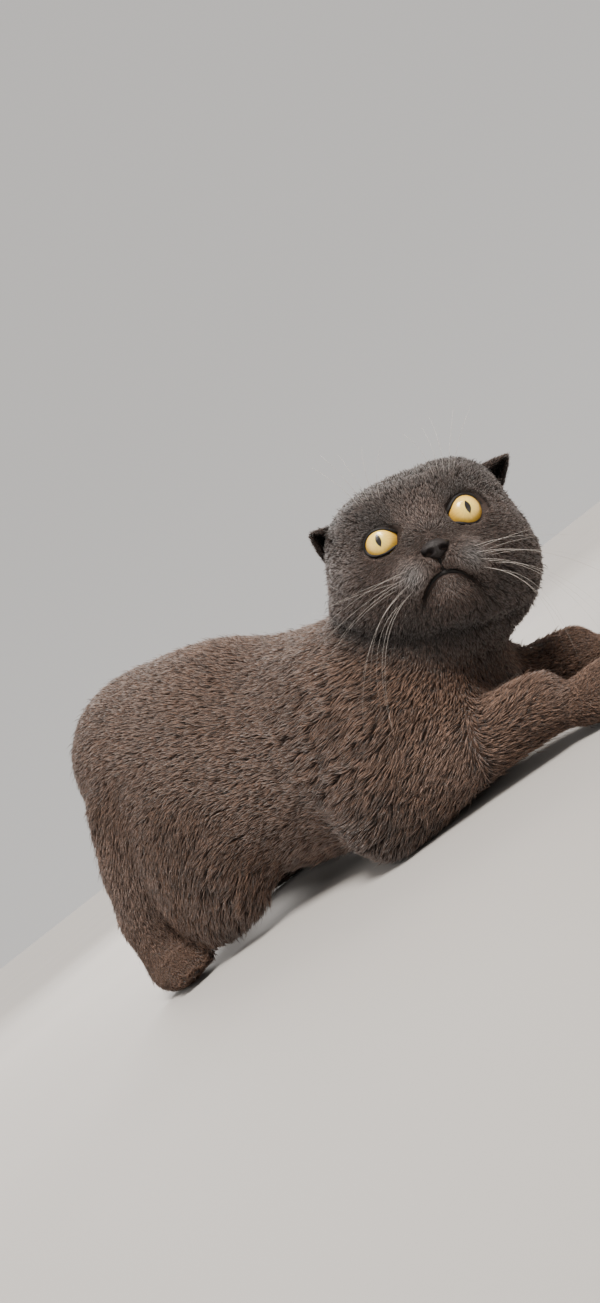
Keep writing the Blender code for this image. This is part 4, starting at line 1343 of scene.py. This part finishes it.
class CAT_OT_materials(bpy.types.Operator):
    """Makes the materials that the pieces share"""

    bl_idname = "cat.materials"
    bl_label = "Materials"

    def execute(self, context):
        looks = looks_of(context)
        group = coat_colour_group(looks)
        grain = leather_grain_group()
        leather = tuple(looks.leather_colour)
        whisker, wire, shader = new_material("whisker_hair", 0.35)
        tone = wire.ramp(wire.placed_noise(60).outputs["Fac"], [
            (0.3, scaled(looks.whisker_colour, 0.8)), (0.7, tuple(looks.whisker_colour))])
        wire.link(tone, shader.inputs["Base Color"])
        SHARED.update({
            "coat": coat_material(group),
            "skin": skin_material(group),
            "nose": bare_skin_material("nose_leather", leather, 0.50, grain, 0.00035),
            "lids": bare_skin_material("lid_skin_and_painted_shade", scaled(leather, 0.5), 0.60, grain, 0.0002),
            "lips": bare_skin_material("lip_skin", scaled(leather, 0.3), 0.60, grain, 0.0002),
            "eye": eye_material(looks),
            "whisker": whisker,
        })
        return {"FINISHED"}


class CAT_OT_skin(bpy.types.Operator):
    """Builds the one skin under the coat"""

    bl_idname = "cat.skin"
    bl_label = "Skin"

    def execute(self, context):
        skin = make_skin()
        settled(skin, SHARED["skin"], FLESH)
        SHARED["skin_object"] = skin
        SHARED["tree"] = BVHTree.FromObject(skin, context.evaluated_depsgraph_get())
        return {"FINISHED"}


class CAT_OT_ears(bpy.types.Operator):
    """Builds the folded ears"""

    bl_idname = "cat.ears"
    bl_label = "Ears"

    def execute(self, context):
        ears = make_ears()
        settled(ears, SHARED["skin"], EARS)
        SHARED["ears_object"] = ears
        return {"FINISHED"}


class CAT_OT_eyes(bpy.types.Operator):
    """Builds the eyeballs and the dark rims of the lids"""

    bl_idname = "cat.eyes"
    bl_label = "Eyes"

    def execute(self, context):
        for name in SIDES:
            settled(make_eye(name), SHARED["eye"], (f"eye_{name}",))
            settled(make_lids(name), SHARED["lids"])
        return {"FINISHED"}


class CAT_OT_nose(bpy.types.Operator):
    """Builds the nose leather and the lips"""

    bl_idname = "cat.nose"
    bl_label = "Nose and lips"

    def execute(self, context):
        settled(make_nose(), SHARED["nose"], ("nose",))
        settled(make_lips(SHARED["tree"]), SHARED["lips"])
        return {"FINISHED"}


class CAT_OT_coat(bpy.types.Operator):
    """Grows the coat in tufts over the skin and the ears"""

    bl_idname = "cat.coat"
    bl_label = "Coat"

    def execute(self, context):
        looks = looks_of(context)
        rng = np.random.default_rng(looks.seed)
        skin = SHARED["skin_object"]
        allowed = skin_allowed(points_of(skin.data))
        roots = Roots(skin, looks.tuft_count, rng, allowed)
        # The marks and the painted shade are finer than the skin's mesh, so the tufts take theirs from the
        # roots' own places.
        roots.marking_and_shade = Coat(roots.place).marking_and_shade
        verts, shade = grow_tufts(roots, rng, looks.lift)
        head = roots.cool > 0.5
        parts = split_pieces("coat_head", np.nonzero(head)[0], in_head(roots.place)[:, 0])
        parts.update(split_pieces("coat_body", np.nonzero(~head)[0], roots.place[:, 0]))
        for name, chosen in parts.items():
            piece = object_named(name, tuft_mesh(name, verts, shade, roots, chosen))
            settled(piece, SHARED["coat"])
        ears = SHARED["ears_object"]
        ear_roots = Roots(ears, looks.ear_tuft_count, rng, values_of(ears.data, "furred"))
        verts, shade = grow_tufts(ear_roots, rng, looks.lift * 0.7)
        every = np.arange(len(verts))
        piece = object_named("coat_ears", tuft_mesh("coat_ears", verts, shade, ear_roots, every))
        settled(piece, SHARED["coat"])
        return {"FINISHED"}


PIECE_TUFTS = 32000


def split_pieces(name, chosen, along):
    """Shares tufts out over pieces of at most PIECE_TUFTS, from front to back."""
    order = chosen[np.argsort(-along[chosen], kind="stable")]
    total = math.ceil(len(order) / PIECE_TUFTS)
    return {f"{name}_{i + 1}": part for i, part in enumerate(np.array_split(order, total))}


class CAT_OT_whiskers(bpy.types.Operator):
    """Sets the whiskers and the hairs over the eyes"""

    bl_idname = "cat.whiskers"
    bl_label = "Whiskers"

    def execute(self, context):
        rng = np.random.default_rng(looks_of(context).seed + 1)
        settled(make_whiskers(SHARED["tree"], rng), SHARED["whisker"])
        return {"FINISHED"}


def lamp(name, kind, place, target, power, colour):
    """A light at a place, turned to its target. Returns its data, for the size."""
    data = bpy.data.lights.new(name, kind)
    data.energy = power
    data.color = colour
    light = object_named(name, data)
    light.location = place
    light.rotation_euler = (Vector(target) - Vector(place)).to_track_quat("-Z", "Y").to_euler()
    return data


def make_lights():
    """A soft warm sun as the key, and two wide lamps from behind, one to each side."""
    key = lamp("key", "SUN", (0.66, -0.52, 1.24), (0.05, 0, 0.10), 7.0, (1.0, 0.94, 0.87))
    key.angle = math.radians(22)
    fill = lamp("fill", "AREA", (-0.9, -0.9, 0.6), (-0.05, 0, 0.10), 5, (1.0, 0.97, 0.94))
    back = lamp("back", "AREA", (-0.9, 0.8, 1.0), (0, 0, 0.12), 22, (1.0, 0.96, 0.92))
    for disk, size in ((fill, 1.2), (back, 1.0)):
        disk.shape = "DISK"
        disk.size = size


def make_floor():
    grid = bpy.ops.mesh.primitive_grid_add
    floor = primitive("floor", grid, x_subdivisions=8, y_subdivisions=8, size=60, location=(0, 0, -0.0004))
    material, wire, shader = new_material("pale_floor", 0.7)
    mottle = wire.placed_noise(3.0).outputs["Fac"]
    tone = wire.ramp(mottle, [(0.3, (0.37, 0.355, 0.34)), (0.7, (0.39, 0.375, 0.36))])
    wire.link(tone, shader.inputs["Base Color"])
    floor.data.materials.append(material)
    return placed(floor)


def make_studio():
    """The plain pale light all round, a little darker overhead."""
    world = bpy.data.worlds.new("studio")
    world.use_nodes = True
    sky = Wiring(world.node_tree)
    ahead = sky.node("ShaderNodeTexCoord").outputs["Generated"]
    height = sky.node("ShaderNodeSeparateXYZ", {"Vector": ahead}).outputs["Z"]
    glow = sky.ramp(height, [
        (0.0, (0.95, 0.92, 0.89)), (1.0, (0.80, 0.77, 0.74)), (0.35, (0.86, 0.83, 0.80))])
    background = world.node_tree.nodes["Background"]
    sky.link(glow, background.inputs["Color"])
    background.inputs["Strength"].default_value = 0.8
    return world


def make_camera():
    """The camera of the photograph: its place off the eyes, its turn and its focal length."""
    data = bpy.data.cameras.new("camera")
    data.sensor_width = SENSOR_WIDTH
    data.sensor_fit = "AUTO"
    data.lens = FOCAL_PIXELS * SENSOR_WIDTH / max(IMAGE_SIZE)
    data.clip_start = 0.01
    camera = object_named("camera", data)
    camera.matrix_world = Matrix.Translation(EYES_MIDDLE + CAMERA_FROM_EYES) @ camera_turn()
    return camera


class CAT_OT_stage(bpy.types.Operator):
    """Lays the pale floor and sets the lights and the camera"""

    bl_idname = "cat.stage"
    bl_label = "Stage"

    def execute(self, context):
        make_floor()
        context.scene.world = make_studio()
        make_lights()
        context.scene.camera = make_camera()
        return {"FINISHED"}


def camera_turn():
    """The camera's turn: its azimuth and pitch, then its roll about the line of sight."""
    ahead = Vector((
        -math.sin(CAMERA_AZIMUTH) * math.cos(CAMERA_PITCH),
        math.cos(CAMERA_AZIMUTH) * math.cos(CAMERA_PITCH),
        math.sin(CAMERA_PITCH),
    ))
    right = Vector((math.cos(CAMERA_AZIMUTH), math.sin(CAMERA_AZIMUTH), 0))
    up = right.cross(ahead)
    image_right = right * math.cos(CAMERA_ROLL) - up * math.sin(CAMERA_ROLL)
    image_up = right * math.sin(CAMERA_ROLL) + up * math.cos(CAMERA_ROLL)
    return Matrix((image_right, image_up, -ahead)).transposed().to_4x4()


OPERATORS = (CAT_OT_materials, CAT_OT_skin, CAT_OT_ears, CAT_OT_eyes, CAT_OT_nose, CAT_OT_coat,
             CAT_OT_whiskers, CAT_OT_stage)


class CAT_PT_panel(bpy.types.Panel):
    """Lists the steps and the looks in the sidebar"""

    bl_idname = "CAT_PT_panel"
    bl_label = "Cat"
    bl_space_type = "VIEW_3D"
    bl_region_type = "UI"
    bl_category = "Cat"

    def draw(self, context):
        for name in CatLooks.__annotations__:
            self.layout.prop(context.scene.cat_looks, name)
        for operator in OPERATORS:
            self.layout.operator(operator.bl_idname)


CLASSES = (CatLooks, *OPERATORS, CAT_PT_panel)


def register():
    for cls in CLASSES:
        bpy.utils.register_class(cls)
    bpy.types.Scene.cat_looks = bpy.props.PointerProperty(type=CatLooks)


def unregister():
    del bpy.types.Scene.cat_looks
    for cls in reversed(CLASSES):
        bpy.utils.unregister_class(cls)


def main():
    register()
    bpy.ops.cat.materials()
    bpy.ops.cat.skin()
    bpy.ops.cat.ears()
    bpy.ops.cat.eyes()
    bpy.ops.cat.nose()
    bpy.ops.cat.coat()
    bpy.ops.cat.whiskers()
    bpy.ops.cat.stage()


if __name__ == "__main__":
    main()
